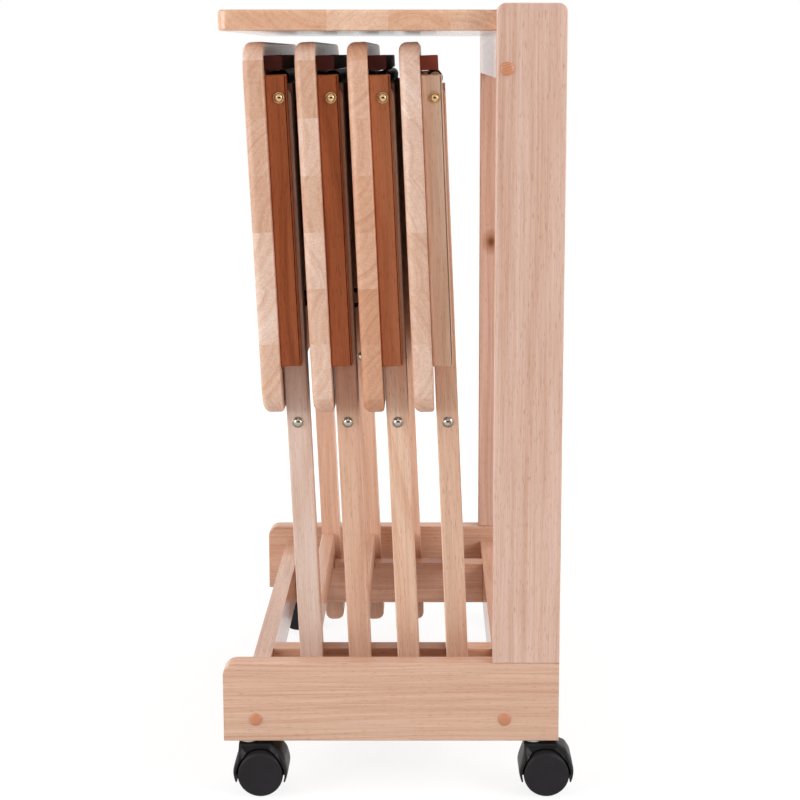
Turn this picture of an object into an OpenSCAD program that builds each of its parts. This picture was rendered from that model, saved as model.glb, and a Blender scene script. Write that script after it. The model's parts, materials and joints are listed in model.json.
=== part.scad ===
// Rack of four folding tray tables on casters.
// X runs from the open front of the rack (-X) to its uprights (+X), Y along the width, Z up.
// The origin lies on the floor under the middle of the whole object. Sizes are in millimetres.

/* [Rack] */
// Gap between the feet of the last table and the back stretcher
back_gap = 23.6; // [14:0.2:44]
// Height of a foot rail
foot_h = 86; // [80:1:100]
// Thickness of the foot rails and the uprights
board_t = 22; // [20:1:26]
// Radius of the foot rail's front top corner
foot_corner_r = 14; // [4:1:24]
// Width of an upright
upright_w = 70; // [56:1:76]
// Radius of an upright's top corners
upright_corner_r = 9; // [3:1:20]
// Height of the stretchers and bearer bars
bar_h = 53; // [46:1:56]
// Drop of the stretchers below the top of the foot rails
bar_drop = 20.5; // [16:0.5:26]
// Thickness of the front and back stretchers
stretcher_t = 19.5; // [18:0.5:22]
// Distance from the front end of the foot rails to the front stretcher
front_inset = 24.5; // [18:0.5:30]
// Distance from the front edge of the uprights to the back stretcher
back_inset = 3; // [0:0.5:20]
// Thickness of the bearer bars
bearer_t = 22; // [18:1:24]
// Gap between the inner legs and the bearer bars
bearer_gap = 11; // [6:0.5:20]

/* [Shelf] */
// Gap between the folded trays and the shelf above them
shelf_gap = 10.2; // [7.4:0.2:60]
// Thickness of the top shelf
shelf_t = 21; // [20:0.5:22]
// Drop of the shelf below the top of the uprights
shelf_drop = 6; // [2:0.5:7]
// Overhang of the foot rails past the front edge of the shelf
shelf_front_inset = 5; // [0:0.5:16]
// Distance from the back edge of the shelf to the back of the uprights
shelf_back_inset = 6; // [0:0.5:8]
// Radius of the shelf's front corners, seen from above
shelf_corner_r = 12; // [4:1:24]
// Height of the rail under the shelf
top_rail_h = 46.5; // [36:0.5:60]
// Thickness of the rail under the shelf
top_rail_t = 21; // [18:1:24]

/* [Tables] */
// Width of a tray
tray_w = 500; // [480:1:510]
// Depth of a tray from the lower edge to the upper edge
tray_depth = 385; // [360:1:387]
// Thickness of a tray
tray_t = 21; // [18:0.5:21.5]
// Radius of a tray's corners
tray_corner_r = 30; // [14:1:40]
// Radius of the rounded edge round a tray's top face
tray_edge_r = 8; // [3:0.5:9]
// Free gap at each side between a tray and the foot rails
side_gap = 6; // [4:1:16]
// Lean of the folded tables
lean = 2.4; // [1.8:0.1:2.8]
// Gap between the legs of a folded table and the tray of the next one
table_gap = 6.7; // [5.4:0.1:12]
// Distance from the front stretcher to the first notch
first_notch = 42.2; // [38:0.2:46]
// Depth of the notches in the bearer bars
notch_depth = 6; // [3:0.5:6]

/* [Legs] */
// Width of a leg
leg_w = 23.4; // [20:0.2:24]
// Thickness of a leg
leg_t = 17; // [15:0.5:20]
// Distance from the middle pivot to the tray pivot
leg_up = 340.5; // [330:0.5:342]
// Distance from the middle pivot to the foot
leg_down = 353.5; // [340:0.5:358]
// Height of the inner legs above the tray pivot, where they carry the crossbar
inner_top = 14; // [13:0.5:15]
// Radius of the rounded corners of the foot ends
foot_end_r = 9; // [3:0.5:10]
// Distance from a tray's underside to its pivot
pivot_off = 13.4; // [13:0.1:15]
// Distance from a tray's upper edge to its pivot
pivot_inset = 57; // [50:1:58]
// Thickness of a side cleat
cleat_t = 14; // [12:0.5:18]
// Height of a side cleat from the tray's underside
cleat_h = 22; // [20:0.5:25]
// Length of a side cleat above its pivot
cleat_up = 23.5; // [14:0.5:25]
// Length of a side cleat below its pivot
cleat_down = 278; // [240:1:290]
// Distance from a tray's side edge to its cleat
cleat_inset = 15; // [8:0.5:18]
// Thickness of the lower stretcher
low_bar_t = 16; // [12:0.5:18]
// Height of the lower stretcher
low_bar_h = 36; // [28:1:44]
// Height of the lower stretcher's underside above the foot ends
low_bar_up = 81; // [74:0.5:96]

/* [Hardware] */
// Radius of the crossbar tube
tube_r = 8; // [7:0.25:8]
// Wall of the crossbar tube
tube_wall = 1.5; // [1:0.25:3]
// Distance from the tray pivot up to the middle of the crossbar tube
tube_up = 19.5; // [18.5:0.25:20]
// Radius of a crossbar screw's shank
tube_screw_r = 2; // [1.5:0.1:2.5]
// Radius of a crossbar screw's head
tube_screw_head_r = 3.4; // [3:0.1:4]
// Length of a crossbar screw under its head
tube_screw_len = 26; // [16:1:34]
// Radius of a pivot bolt's shank
bolt_r = 3; // [2.5:0.25:4]
// Radius of a pivot bolt's head
bolt_head_r = 5.8; // [4.5:0.1:7]
// Height of a pivot bolt's head
bolt_head_h = 3.2; // [2:0.1:4.5]
// Radius of a spacing washer
washer_r = 7.5; // [6:0.5:9]
// Height of the keeper bar under a tray's upper edge
keeper_h = 15; // [11:0.2:15.4]
// Thickness of the keeper bar
keeper_t = 18.6; // [14:0.2:20]
// Distance from the tray pivot to the catches for the open table
catch_down = 255; // [235:1:265]
// Distance between the two catches
catch_span = 240; // [120:1:320]
// Width of a catch
catch_w = 22; // [14:1:30]
// Wall of a catch
catch_wall = 2.4; // [1.6:0.1:3]
// Radius of a wooden screw cap
cap_r = 6.8; // [5.5:0.1:9]
// Height of a screw cap above the wood
cap_h = 2.2; // [1:0.1:3]
// Radius of a screw cap's shank
cap_shank_r = 5; // [4.75:0.05:5.4]
// Radius of a frame screw's shank
screw_r = 2.2; // [1.8:0.1:2.8]
// Radius of a frame dowel
dowel_r = 4; // [3:0.25:4.5]
// Length of a frame dowel
dowel_len = 30; // [20:1:36]

/* [Casters] */
// Radius of a caster wheel
wheel_r = 24; // [22:0.5:24.5]
// Width of a caster wheel
wheel_w = 18; // [14:0.5:19]
// Radius of a caster wheel's outer rim edge
wheel_edge_r = 3; // [1:0.25:5]
// Half thickness of the web between the two wheels
web_half = 5; // [4:0.25:7]
// Wall of the caster hood over the wheels
hood_wall = 3.6; // [2.4:0.1:5]
// Gap between a wheel and the hood
hood_gap = 1.6; // [1:0.1:2.5]
// Height of a foot rail above the caster hoods
caster_neck = 4; // [2.8:0.1:12]
// Distance from a swivel to its wheel axle
trail = 13; // [10:0.5:15]
// Distance from an end of a foot rail to the swivel
swivel_inset = 26; // [22:0.5:34]
// Radius of a caster axle
axle_r = 4; // [3:0.25:5]
// Radius of a caster stem
stem_r = 4; // [3:0.25:4.5]
// Length of a caster stem inside the rail
stem_len = 16; // [12:1:16]
// Radius of the flange of a stem socket
socket_flange_r = 9.5; // [8.5:0.25:10.5]

/* [Fits] */
// Radial clearance of a turning shaft in its bore
run_fit = 0.08; // [0.04:0.01:0.1]
// Radial clearance of a fixed pin in its hole
pin_fit = 0.03; // [0.01:0.01:0.06]
// Gap between a seated piece and its seat
seat_gap = 0.3; // [0.2:0.05:0.5]
// Side clearance of a stretcher in its notch
notch_fit = 0.5; // [0.3:0.05:0.8]
// Gap between neighbouring legs and cleats, filled by washers
side_play = 1; // [0.8:0.05:1.4]

/* [Hidden] */
$fn = 96;
eps = 0.01;
TABLES = 4;
WOOD = "#DDB391";
WOOD_WARM = "#CF9E78";
WOOD_CAP = "#C58660";
STEEL = "#C9C4B8";
BLACK = "#1B1A1C";
BROWN = "#4A221B";

// Widths across the rack, measured from the middle plane
tray_half = tray_w / 2;
inner_half = tray_half + side_gap;
rack_half = inner_half + board_t;
cleat_out = tray_half - cleat_inset;
cleat_in = cleat_out - cleat_t;
outer_leg_out = cleat_in - side_play;
outer_leg_in = outer_leg_out - leg_t;
inner_leg_out = outer_leg_in - side_play;
inner_leg_in = inner_leg_out - leg_t;
bearer_out = inner_leg_in - bearer_gap;
bearer_in = bearer_out - bearer_t;

// Casters: the hood follows the wheel, and the rails lie on the hoods' necks
hood_r = wheel_r + hood_gap + hood_wall;
caster_h = wheel_r + hood_r + caster_neck;

// Feet and lower stretcher of a folded table, in its own frame: origin at the middle pivot, z along the legs
low_bar_down = leg_down - low_bar_up;
low_bar_x0 = -leg_w / 2;
low_bar_mid = low_bar_x0 + low_bar_t / 2;
seat_dx = low_bar_mid * cos(lean) + low_bar_down * sin(lean);
seat_dz = low_bar_mid * sin(lean) - low_bar_down * cos(lean);
foot_dx = leg_w / 2 * cos(lean) + leg_down * sin(lean);
table_pitch = pivot_off + tray_t + leg_w / 2 + table_gap;

// Depths front to back: the rails are as long as the tables need, and the casters trail past their back end
last_notch = front_inset + stretcher_t + first_notch + (TABLES - 1) * table_pitch;
back_bar_in = last_notch - seat_dx + foot_dx + back_gap;
foot_len = back_bar_in - back_inset + upright_w;
hood_past = max(0, trail + hood_r - swivel_inset);
foot_front = -(foot_len + hood_past) / 2;
foot_back = foot_front + foot_len;
upright_front = foot_back - upright_w;
front_bar_x = foot_front + front_inset;
back_bar_x = upright_front + back_inset;
bearer_front = front_bar_x + stretcher_t;
shelf_front = foot_front + shelf_front_inset;
shelf_back = foot_back - shelf_back_inset;

// Heights: the tables hang on the bearer bars, and the shelf clears their trays
foot_top = caster_h + foot_h;
bar_top = foot_top - bar_drop;
bar_low = bar_top - bar_h;
table_z = bar_top - notch_depth + seat_gap - seat_dz;
tray_top_z = leg_up + pivot_inset;
shelf_low = table_z + tray_top_z * cos(lean) - pivot_off * sin(lean) + shelf_gap;
shelf_top = shelf_low + shelf_t;
rack_top = shelf_top + shelf_drop;
upright_h = rack_top - foot_top;
top_rail_low = shelf_low - top_rail_h;

// The folded tables and the pieces at the tops of their legs
function table_x(i) = bearer_front + first_notch + (i - 1) * table_pitch - seat_dx;
tube_x = tube_r * 0.2;
keeper_low = leg_up + norm([tube_x, tube_up]) + tube_r + 0.4;
catch_r = tube_r + 0.2;

// Fasteners of the rack
cap_z_foot = bar_low + bar_h * 0.22;
cap_z_top = top_rail_low + top_rail_h * 0.2;
front_bar_mid = front_bar_x + stretcher_t / 2;
back_bar_mid = back_bar_x + stretcher_t / 2;
top_rail_mid = upright_front + top_rail_t / 2;
cap_depth = 7;
screw_len = 46;
screw_head_h = 3;
cap_points = [[front_bar_mid, cap_z_foot], [back_bar_mid, cap_z_foot], [top_rail_mid, cap_z_top]];
shelf_dowel_x = [upright_front + upright_w * 0.35, upright_front + upright_w * 0.75];
shelf_mid_z = (shelf_low + shelf_top) / 2;
foot_dowel_x = [upright_front + upright_w * 0.25, upright_front + upright_w * 0.75];
bearer_mid_y = (bearer_in + bearer_out) / 2;
bearer_dowel_z = bar_low + bar_h * 0.35;
bearer_dowel_in = stretcher_t * 0.6;
shelf_dowel_in = board_t * 0.55;

// Casters
swivel_x = [foot_front + swivel_inset, foot_back - swivel_inset];
swivel_y = rack_half - board_t / 2;
wheel_gap = 0.5;
wheel_proud = 0.6;
axle_cover = 4;
stem_seat = 4;
hood_half = web_half + wheel_gap + wheel_w - wheel_proud;
hood_top = caster_h - 2.3;
flange_h = 1.7;
socket_len = stem_len + 2;
socket_r = stem_r + run_fit + 1.8;
axle_half = web_half + wheel_gap + wheel_w - axle_cover;

// Extrudes an X-Z outline from y0 to y1
module along_y(y0, y1) {
    translate([0, y1, 0]) rotate([90, 0, 0]) linear_extrude(y1 - y0) children();
}

// The children on the -Y side and their mirror image on the +Y side
module both_sides() {
    children();
    mirror([0, 1, 0]) children();
}

// A cylinder along Y from y0 to y1 at x, z
module y_rod(x, z, r, y0, y1) {
    translate([x, y1, z]) rotate([90, 0, 0]) cylinder(r = r, h = y1 - y0);
}

// What a rounded corner takes off: the corner of a square outside a quarter circle
module corner_cut(r) {
    difference() {
        translate([-eps, -eps]) square(r + eps);
        translate([r, r]) circle(r);
    }
}

// Places the children in the frame of table i
module in_table(i) {
    translate([table_x(i), 0, table_z]) rotate([0, -lean, 0]) children();
}

// A round head that stands out along -Y from a face at y
module dome_head(x, y, z, r, h) {
    ball = (r * r + h * h) / (2 * h);
    translate([x, y, z]) rotate([90, 0, 0]) rotate_extrude() intersection() {
        square([r, h]);
        translate([0, h - ball]) circle(ball);
    }
}

// Outline of a foot rail, with its front top corner rounded
module foot_outline() {
    difference() {
        translate([foot_front, caster_h]) square([foot_len, foot_h]);
        translate([foot_front, foot_top]) mirror([0, 1]) corner_cut(foot_corner_r);
    }
}

// Outline of an upright, with its top corners rounded
module upright_outline() {
    difference() {
        translate([upright_front, foot_top]) square([upright_w, upright_h]);
        translate([upright_front, rack_top]) mirror([0, 1]) corner_cut(upright_corner_r);
        translate([foot_back, rack_top]) mirror([1, 0]) mirror([0, 1]) corner_cut(upright_corner_r);
    }
}

// Hole for a cap and its screw, through a board on the -Y side
module cap_hole(p) {
    y_rod(p[0], p[1], cap_shank_r + pin_fit, -rack_half - eps, -rack_half + cap_depth + screw_head_h + 0.4);
    y_rod(p[0], p[1], screw_r + pin_fit, -rack_half, -inner_half + eps);
}

// Pilot holes for the frame screws in the end grain of a cross piece
module pilot_holes(points) {
    both_sides() for (p = points)
        y_rod(p[0], p[1], screw_r + pin_fit, -inner_half - eps, -rack_half + cap_depth + screw_len + 0.4);
}

// Upright dowel between a foot rail and an upright
module foot_dowels(extra_r, extra_l) {
    for (x = foot_dowel_x)
        translate([x, -swivel_y, foot_top - dowel_len / 2 - extra_l])
            cylinder(r = dowel_r + extra_r, h = dowel_len + 2 * extra_l);
}

// Dowels between an upright and the end of the shelf
module shelf_dowels(extra_r, extra_l) {
    for (x = shelf_dowel_x)
        y_rod(x, shelf_mid_z, dowel_r + extra_r, -inner_half - shelf_dowel_in - extra_l,
            -inner_half - shelf_dowel_in + dowel_len + extra_l);
}

// Dowels between the bearer bars and the two stretchers
module bearer_dowels(extra_r, extra_l) {
    for (x = [bearer_front - bearer_dowel_in, back_bar_x + bearer_dowel_in - dowel_len])
        translate([x - extra_l, -bearer_mid_y, bearer_dowel_z]) rotate([0, 90, 0])
            cylinder(r = dowel_r + extra_r, h = dowel_len + 2 * extra_l);
}

// Bores for the sockets of the two casters under one foot rail
module socket_bores() {
    for (x = swivel_x)
        translate([x, -swivel_y, caster_h - eps])
            cylinder(r = socket_r + pin_fit, h = socket_len + seat_gap);
}

module foot_rail_right() {
    difference() {
        along_y(-rack_half, -inner_half) foot_outline();
        for (p = [cap_points[0], cap_points[1]]) cap_hole(p);
        foot_dowels(pin_fit, seat_gap);
        socket_bores();
    }
}

module upright_right() {
    difference() {
        along_y(-rack_half, -inner_half) upright_outline();
        cap_hole(cap_points[2]);
        foot_dowels(pin_fit, seat_gap);
        shelf_dowels(pin_fit, seat_gap);
    }
}

module right_foot_rail() { color(WOOD) foot_rail_right(); }
module left_foot_rail() { color(WOOD) mirror([0, 1, 0]) foot_rail_right(); }
module right_upright() { color(WOOD) upright_right(); }
module left_upright() { color(WOOD) mirror([0, 1, 0]) upright_right(); }

// A cross piece between the two foot rails
module stretcher(x, cap) {
    difference() {
        translate([x, -inner_half, bar_low]) cube([stretcher_t, 2 * inner_half, bar_h]);
        pilot_holes([cap]);
        both_sides() bearer_dowels(pin_fit, seat_gap);
    }
}

module front_stretcher() { color(WOOD_WARM) stretcher(front_bar_x, cap_points[0]); }
module back_stretcher() { color(WOOD_WARM) stretcher(back_bar_x, cap_points[1]); }

// Room in the bearer bars for the lower stretcher of table i
module notch(i) {
    in_table(i) translate([low_bar_x0 - notch_fit, -bearer_out - eps, -low_bar_down - seat_gap])
        cube([low_bar_t + 2 * notch_fit, bearer_t + 2 * eps, low_bar_h]);
}

// Bearer bar that carries the lower stretchers of the folded tables
module bearer_bar() {
    difference() {
        translate([bearer_front, -bearer_out, bar_low]) cube([back_bar_x - bearer_front, bearer_t, bar_h]);
        for (i = [1:TABLES]) notch(i);
        bearer_dowels(pin_fit, seat_gap);
    }
}

module right_bearer_bar() { color(WOOD) bearer_bar(); }
module left_bearer_bar() { color(WOOD) mirror([0, 1, 0]) bearer_bar(); }

// Shelf between the uprights, with rounded front corners
module top_shelf() {
    color(WOOD) difference() {
        translate([shelf_front, -inner_half, shelf_low]) linear_extrude(shelf_t) difference() {
            square([shelf_back - shelf_front, 2 * inner_half]);
            corner_cut(shelf_corner_r);
            translate([0, 2 * inner_half]) mirror([0, 1]) corner_cut(shelf_corner_r);
        }
        both_sides() shelf_dowels(pin_fit, seat_gap);
    }
}

module top_rail() {
    color(WOOD_WARM) difference() {
        translate([upright_front, -inner_half, top_rail_low]) cube([top_rail_t, 2 * inner_half, top_rail_h]);
        pilot_holes([cap_points[2]]);
    }
}

// Mushroom caps over the frame screws
module screw_caps() {
    color(WOOD_CAP) both_sides() for (p = cap_points) {
        dome_head(p[0], -rack_half, p[1], cap_r, cap_h);
        y_rod(p[0], p[1], cap_shank_r, -rack_half, -rack_half + cap_depth);
    }
}

// Screws from the foot rails and uprights into the cross pieces
module frame_screws() {
    color(STEEL) both_sides() for (p = cap_points) {
        y_rod(p[0], p[1], cap_shank_r - 0.4, -rack_half + cap_depth, -rack_half + cap_depth + screw_head_h);
        y_rod(p[0], p[1], screw_r, -rack_half + cap_depth, -rack_half + cap_depth + screw_len);
    }
}

module frame_dowels() {
    color(WOOD_CAP) both_sides() {
        foot_dowels(0, 0);
        shelf_dowels(0, 0);
        bearer_dowels(0, 0);
    }
}

// Flanged sockets for the caster stems
module caster_sockets() {
    color(STEEL) both_sides() for (x = swivel_x) translate([x, -swivel_y, 0]) difference() {
        union() {
            translate([0, 0, caster_h]) cylinder(r = socket_r, h = socket_len);
            translate([0, 0, caster_h - flange_h]) cylinder(r = socket_flange_r, h = flange_h);
        }
        translate([0, 0, caster_h - flange_h - eps])
            cylinder(r = stem_r + run_fit, h = stem_len + flange_h + 1);
    }
}

// Tray board in its own plane: x across the width, y up the depth, z from the underside to the top face
module tray_board() {
    w = tray_w;
    d = tray_depth;
    r = tray_edge_r;
    c = tray_corner_r;
    linear_extrude(tray_t - r) rounded_plate(w, d, c);
    linear_extrude(tray_t) rounded_plate(w - 2 * r, d - 2 * r, c - r);
    intersection() {
        translate([0, 0, tray_t - r - 1]) linear_extrude(r + 1) rounded_plate(w, d, c);
        tray_rim(w / 2 - r, d / 2 - r, c - r, r);
    }
}

// Rounded rim of the tray: rods along its sides and ring quarters round its corners
module tray_rim(a, b, c, r) {
    z = tray_t - r;
    for (s = [-1, 1]) {
        translate([-(a - c), s * b, z]) rotate([0, 90, 0]) cylinder(r = r, h = 2 * (a - c));
        translate([s * a, b - c, z]) rotate([90, 0, 0]) cylinder(r = r, h = 2 * (b - c));
    }
    for (q = [0:3]) {
        sx = (q == 0 || q == 3) ? 1 : -1;
        sy = q < 2 ? 1 : -1;
        translate([sx * (a - c), sy * (b - c), z]) rotate([0, 0, 90 * q])
            rotate_extrude(angle = 90) translate([c, 0]) circle(r);
    }
}

// Flat plate with round corners, centred on the origin
module rounded_plate(w, d, r) {
    difference() {
        translate([-w / 2, -d / 2]) square([w, d]);
        for (sx = [0, 1], sy = [0, 1])
            mirror([sx, 0]) mirror([0, sy]) translate([-w / 2, -d / 2]) corner_cut(r);
    }
}

module tray_top(i) {
    color(WOOD) in_table(i) translate([-pivot_off, 0, tray_top_z - tray_depth / 2])
        rotate([0, -90, 0]) rotate([0, 0, 90]) tray_board();
}

// Two cleats under the tray, drilled for its pivot bolts
module side_cleats(i) {
    color(WOOD_WARM) in_table(i) both_sides() difference() {
        translate([-pivot_off, -cleat_out, leg_up - cleat_down])
            cube([cleat_h, cleat_t, cleat_down + cleat_up]);
        y_rod(0, leg_up, bolt_r + run_fit, -cleat_out - eps, -cleat_in + eps);
    }
}

// Keeper bar over the crossbar of the folded legs, and two catches for the crossbar of the open ones
module tray_catches(i) {
    color(BROWN) in_table(i) {
        translate([-pivot_off, -cleat_out, keeper_low]) cube([keeper_t, 2 * cleat_out, keeper_h]);
        for (s = [-1, 1]) catch_clip(s * catch_span / 2);
    }
}

// One spring catch: an open ring on a flat base
module catch_clip(y) {
    x = -pivot_off + catch_wall + catch_r;
    z = leg_up - catch_down;
    along_y(y - catch_w / 2, y + catch_w / 2) difference() {
        union() {
            translate([x, z]) circle(catch_r + catch_wall);
            translate([-pivot_off, z - catch_r]) square([catch_r, 2 * catch_r]);
        }
        translate([x, z]) circle(catch_r);
        translate([x + catch_r * 0.45, z - 2 * catch_r]) square([2 * catch_r, 4 * catch_r]);
    }
}

// Outline of a leg below its tray pivot, with a foot end that is rounded at both corners
module leg_outline() {
    w = leg_w / 2;
    difference() {
        translate([-w, -leg_down]) square([leg_w, leg_down + leg_up]);
        for (m = [0, 1]) mirror([m, 0]) translate([-w, -leg_down]) corner_cut(foot_end_r);
    }
}

module outer_legs(i) {
    color(WOOD) in_table(i) both_sides() difference() {
        along_y(-outer_leg_out, -outer_leg_in) {
            leg_outline();
            translate([0, leg_up]) circle(leg_w / 2);
        }
        y_rod(0, leg_up, bolt_r + pin_fit, -outer_leg_out - eps, -outer_leg_in - 1.5);
        y_rod(0, 0, bolt_r + pin_fit, -outer_leg_out - eps, -outer_leg_in + eps);
    }
}

// Inner legs, hollowed at the top for the crossbar and drilled for its screws
module inner_legs(i) {
    color(WOOD) in_table(i) both_sides() difference() {
        along_y(-inner_leg_out, -inner_leg_in) {
            leg_outline();
            translate([-leg_w / 2, leg_up - 1]) square([leg_w, inner_top + 1]);
        }
        y_rod(0, 0, bolt_r + run_fit, -inner_leg_out - eps, -inner_leg_in + eps);
        y_rod(tube_x, leg_up + tube_up, tube_r + pin_fit, -inner_leg_out - eps, -inner_leg_in + eps);
        tube_screw(pin_fit);
    }
}

module lower_stretcher(i) {
    color(WOOD) in_table(i) translate([low_bar_x0, -inner_leg_in, -low_bar_down])
        cube([low_bar_t, 2 * inner_leg_in, low_bar_h]);
}

// Screw that holds the crossbar on the end of an inner leg
module tube_screw(extra) {
    translate([tube_x, -(inner_leg_out + inner_leg_in) / 2, leg_up + tube_up - tube_r + tube_wall]) {
        translate([0, 0, -tube_screw_len - extra])
            cylinder(r = tube_screw_r + extra, h = tube_screw_len + 2 * extra);
        cylinder(r = tube_screw_head_r, h = 2.2);
    }
}

// Steel tube across the top of the inner legs, with the screws inside it
module crossbar(i) {
    color(BLACK) in_table(i) {
        difference() {
            y_rod(tube_x, leg_up + tube_up, tube_r, -inner_leg_out, inner_leg_out);
            y_rod(tube_x, leg_up + tube_up, tube_r - tube_wall, -inner_leg_out - eps, inner_leg_out + eps);
            both_sides() {
                tube_screw(pin_fit);
                translate([tube_x, -(inner_leg_out + inner_leg_in) / 2, leg_up + tube_up])
                    cylinder(r = tube_screw_head_r + 0.4, h = tube_r + 1);
            }
        }
        both_sides() tube_screw(0);
    }
}

// Tray pivot bolts, middle pivot bolts with their cap nuts, and the washers between legs and cleats
module pivot_bolts(i) {
    nut_h = 4.5;
    color(STEEL) in_table(i) both_sides() {
        dome_head(0, -cleat_out, leg_up, bolt_head_r, bolt_head_h);
        y_rod(0, leg_up, bolt_r, -cleat_out, -outer_leg_in - 2);
        dome_head(0, -outer_leg_out, 0, bolt_head_r, bolt_head_h);
        y_rod(0, 0, bolt_r, -outer_leg_out, -inner_leg_in + nut_h - 1);
        mirror([0, 1, 0]) dome_head(0, inner_leg_in - seat_gap, 0, bolt_head_r, nut_h);
        washer(leg_up, -outer_leg_out - side_play / 2);
        washer(0, -inner_leg_out - side_play / 2);
    }
}

// A thin washer round a pivot bolt, in the middle of the gap at y
module washer(z, y) {
    t = side_play - 0.4;
    difference() {
        y_rod(0, z, washer_r, y - t / 2, y + t / 2);
        y_rod(0, z, bolt_r - eps, y - t, y + t);
    }
}

// Frame of caster k: 1 right front, 2 right back, 3 left front, 4 left back
module at_caster(k) {
    translate([swivel_x[(k - 1) % 2], k < 3 ? -swivel_y : swivel_y, 0]) children();
}

// Side outline of the hood: an arch over the wheels with a block for the stem on top
module hood_outline() {
    difference() {
        translate([trail, wheel_r]) {
            circle(hood_r);
            polygon([[-hood_r, 0], [-hood_r * 0.98, hood_r * 0.2], [-hood_r * 0.87, hood_r * 0.58],
                [-hood_r * 0.81, hood_r * 0.8], [-hood_r * 0.8, hood_top - wheel_r],
                [hood_r * 0.38, hood_top - wheel_r], [hood_r * 0.72, hood_r * 0.88],
                [hood_r * 0.9, hood_r * 0.56], [hood_r * 0.985, hood_r * 0.2], [hood_r, 0]]);
        }
        translate([trail - 2 * hood_r, -wheel_r]) square([4 * hood_r, 1.65 * wheel_r]);
    }
}

// End outline of the hood, narrower towards the top
module hood_end_outline() {
    polygon([[-hood_half, 0], [-hood_half, wheel_r * 1.7], [-hood_half * 0.86, wheel_r * 2.15],
        [-hood_half * 0.58, hood_top + 1], [hood_half * 0.58, hood_top + 1],
        [hood_half * 0.86, wheel_r * 2.15], [hood_half, wheel_r * 1.7], [hood_half, 0]]);
}

// Hood with its web, stem and axle
module caster_fork(k) {
    color(BLACK) at_caster(k) {
        difference() {
            intersection() {
                along_y(-hood_half, hood_half) hood_outline();
                translate([trail - 2 * hood_r, 0, 0]) rotate([90, 0, 90]) linear_extrude(4 * hood_r)
                    hood_end_outline();
            }
            y_rod(trail, wheel_r, wheel_r + hood_gap, -hood_half - 1, -web_half);
            y_rod(trail, wheel_r, wheel_r + hood_gap, web_half, hood_half + 1);
            y_rod(trail, wheel_r, axle_r + pin_fit, -web_half - 1, web_half + 1);
            translate([0, 0, hood_top - stem_seat]) cylinder(r = stem_r + pin_fit, h = 2 * stem_seat);
        }
        translate([0, 0, hood_top - stem_seat])
            cylinder(r = stem_r, h = caster_h + stem_len - hood_top + stem_seat);
        y_rod(trail, wheel_r, axle_r, -axle_half, axle_half);
    }
}

// Half section of a wheel: radius along x, width along y from the web outwards
module wheel_section() {
    r = wheel_edge_r;
    difference() {
        union() {
            square([wheel_r, wheel_w - r]);
            square([wheel_r - r, wheel_w]);
            translate([wheel_r - r, wheel_w - r]) circle(r);
        }
        translate([-eps, -eps]) square([axle_r + run_fit, wheel_w - axle_cover + seat_gap]);
    }
}

// Wheel of caster k on the side s of the web: -1 towards -Y, +1 towards +Y
module caster_wheel(k, s) {
    color(BLACK) at_caster(k) translate([trail, s * (web_half + wheel_gap), wheel_r])
        rotate([s > 0 ? -90 : 90, 0, 0]) rotate_extrude() wheel_section();
}

module outer_wheel(k) { caster_wheel(k, k < 3 ? -1 : 1); }
module inner_wheel(k) { caster_wheel(k, k < 3 ? 1 : -1); }

right_foot_rail();
left_foot_rail();
right_upright();
left_upright();
front_stretcher();
back_stretcher();
right_bearer_bar();
left_bearer_bar();
top_shelf();
top_rail();
screw_caps();
frame_screws();
frame_dowels();
caster_sockets();
tray_top(1);  // tray_top_1
side_cleats(1);  // side_cleats_1
tray_catches(1);  // tray_catches_1
outer_legs(1);  // outer_legs_1
pivot_bolts(1);  // pivot_bolts_1
inner_legs(1);  // inner_legs_1
lower_stretcher(1);  // lower_stretcher_1
crossbar(1);  // crossbar_1
tray_top(2);  // tray_top_2
side_cleats(2);  // side_cleats_2
tray_catches(2);  // tray_catches_2
outer_legs(2);  // outer_legs_2
pivot_bolts(2);  // pivot_bolts_2
inner_legs(2);  // inner_legs_2
lower_stretcher(2);  // lower_stretcher_2
crossbar(2);  // crossbar_2
tray_top(3);  // tray_top_3
side_cleats(3);  // side_cleats_3
tray_catches(3);  // tray_catches_3
outer_legs(3);  // outer_legs_3
pivot_bolts(3);  // pivot_bolts_3
inner_legs(3);  // inner_legs_3
lower_stretcher(3);  // lower_stretcher_3
crossbar(3);  // crossbar_3
tray_top(4);  // tray_top_4
side_cleats(4);  // side_cleats_4
tray_catches(4);  // tray_catches_4
outer_legs(4);  // outer_legs_4
pivot_bolts(4);  // pivot_bolts_4
inner_legs(4);  // inner_legs_4
lower_stretcher(4);  // lower_stretcher_4
crossbar(4);  // crossbar_4
caster_fork(1);  // caster_fork_1
outer_wheel(1);  // outer_wheel_1
inner_wheel(1);  // inner_wheel_1
caster_fork(2);  // caster_fork_2
outer_wheel(2);  // outer_wheel_2
inner_wheel(2);  // inner_wheel_2
caster_fork(3);  // caster_fork_3
outer_wheel(3);  // outer_wheel_3
inner_wheel(3);  // inner_wheel_3
caster_fork(4);  // caster_fork_4
outer_wheel(4);  // outer_wheel_4
inner_wheel(4);  // inner_wheel_4
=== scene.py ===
"""Looks of a rolling wooden rack in which four folded tray tables lean side by side.

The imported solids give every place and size. Each class below builds the finished pieces of one
sub-assembly in millimetres, sets them in the row frame in metres and lets them ride on its body.
"""

import json
import logging
import math
from collections.abc import Callable, Sequence
from dataclasses import dataclass, field
from enum import Enum

import bmesh
import bpy
from mathutils import Matrix, Vector


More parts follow.
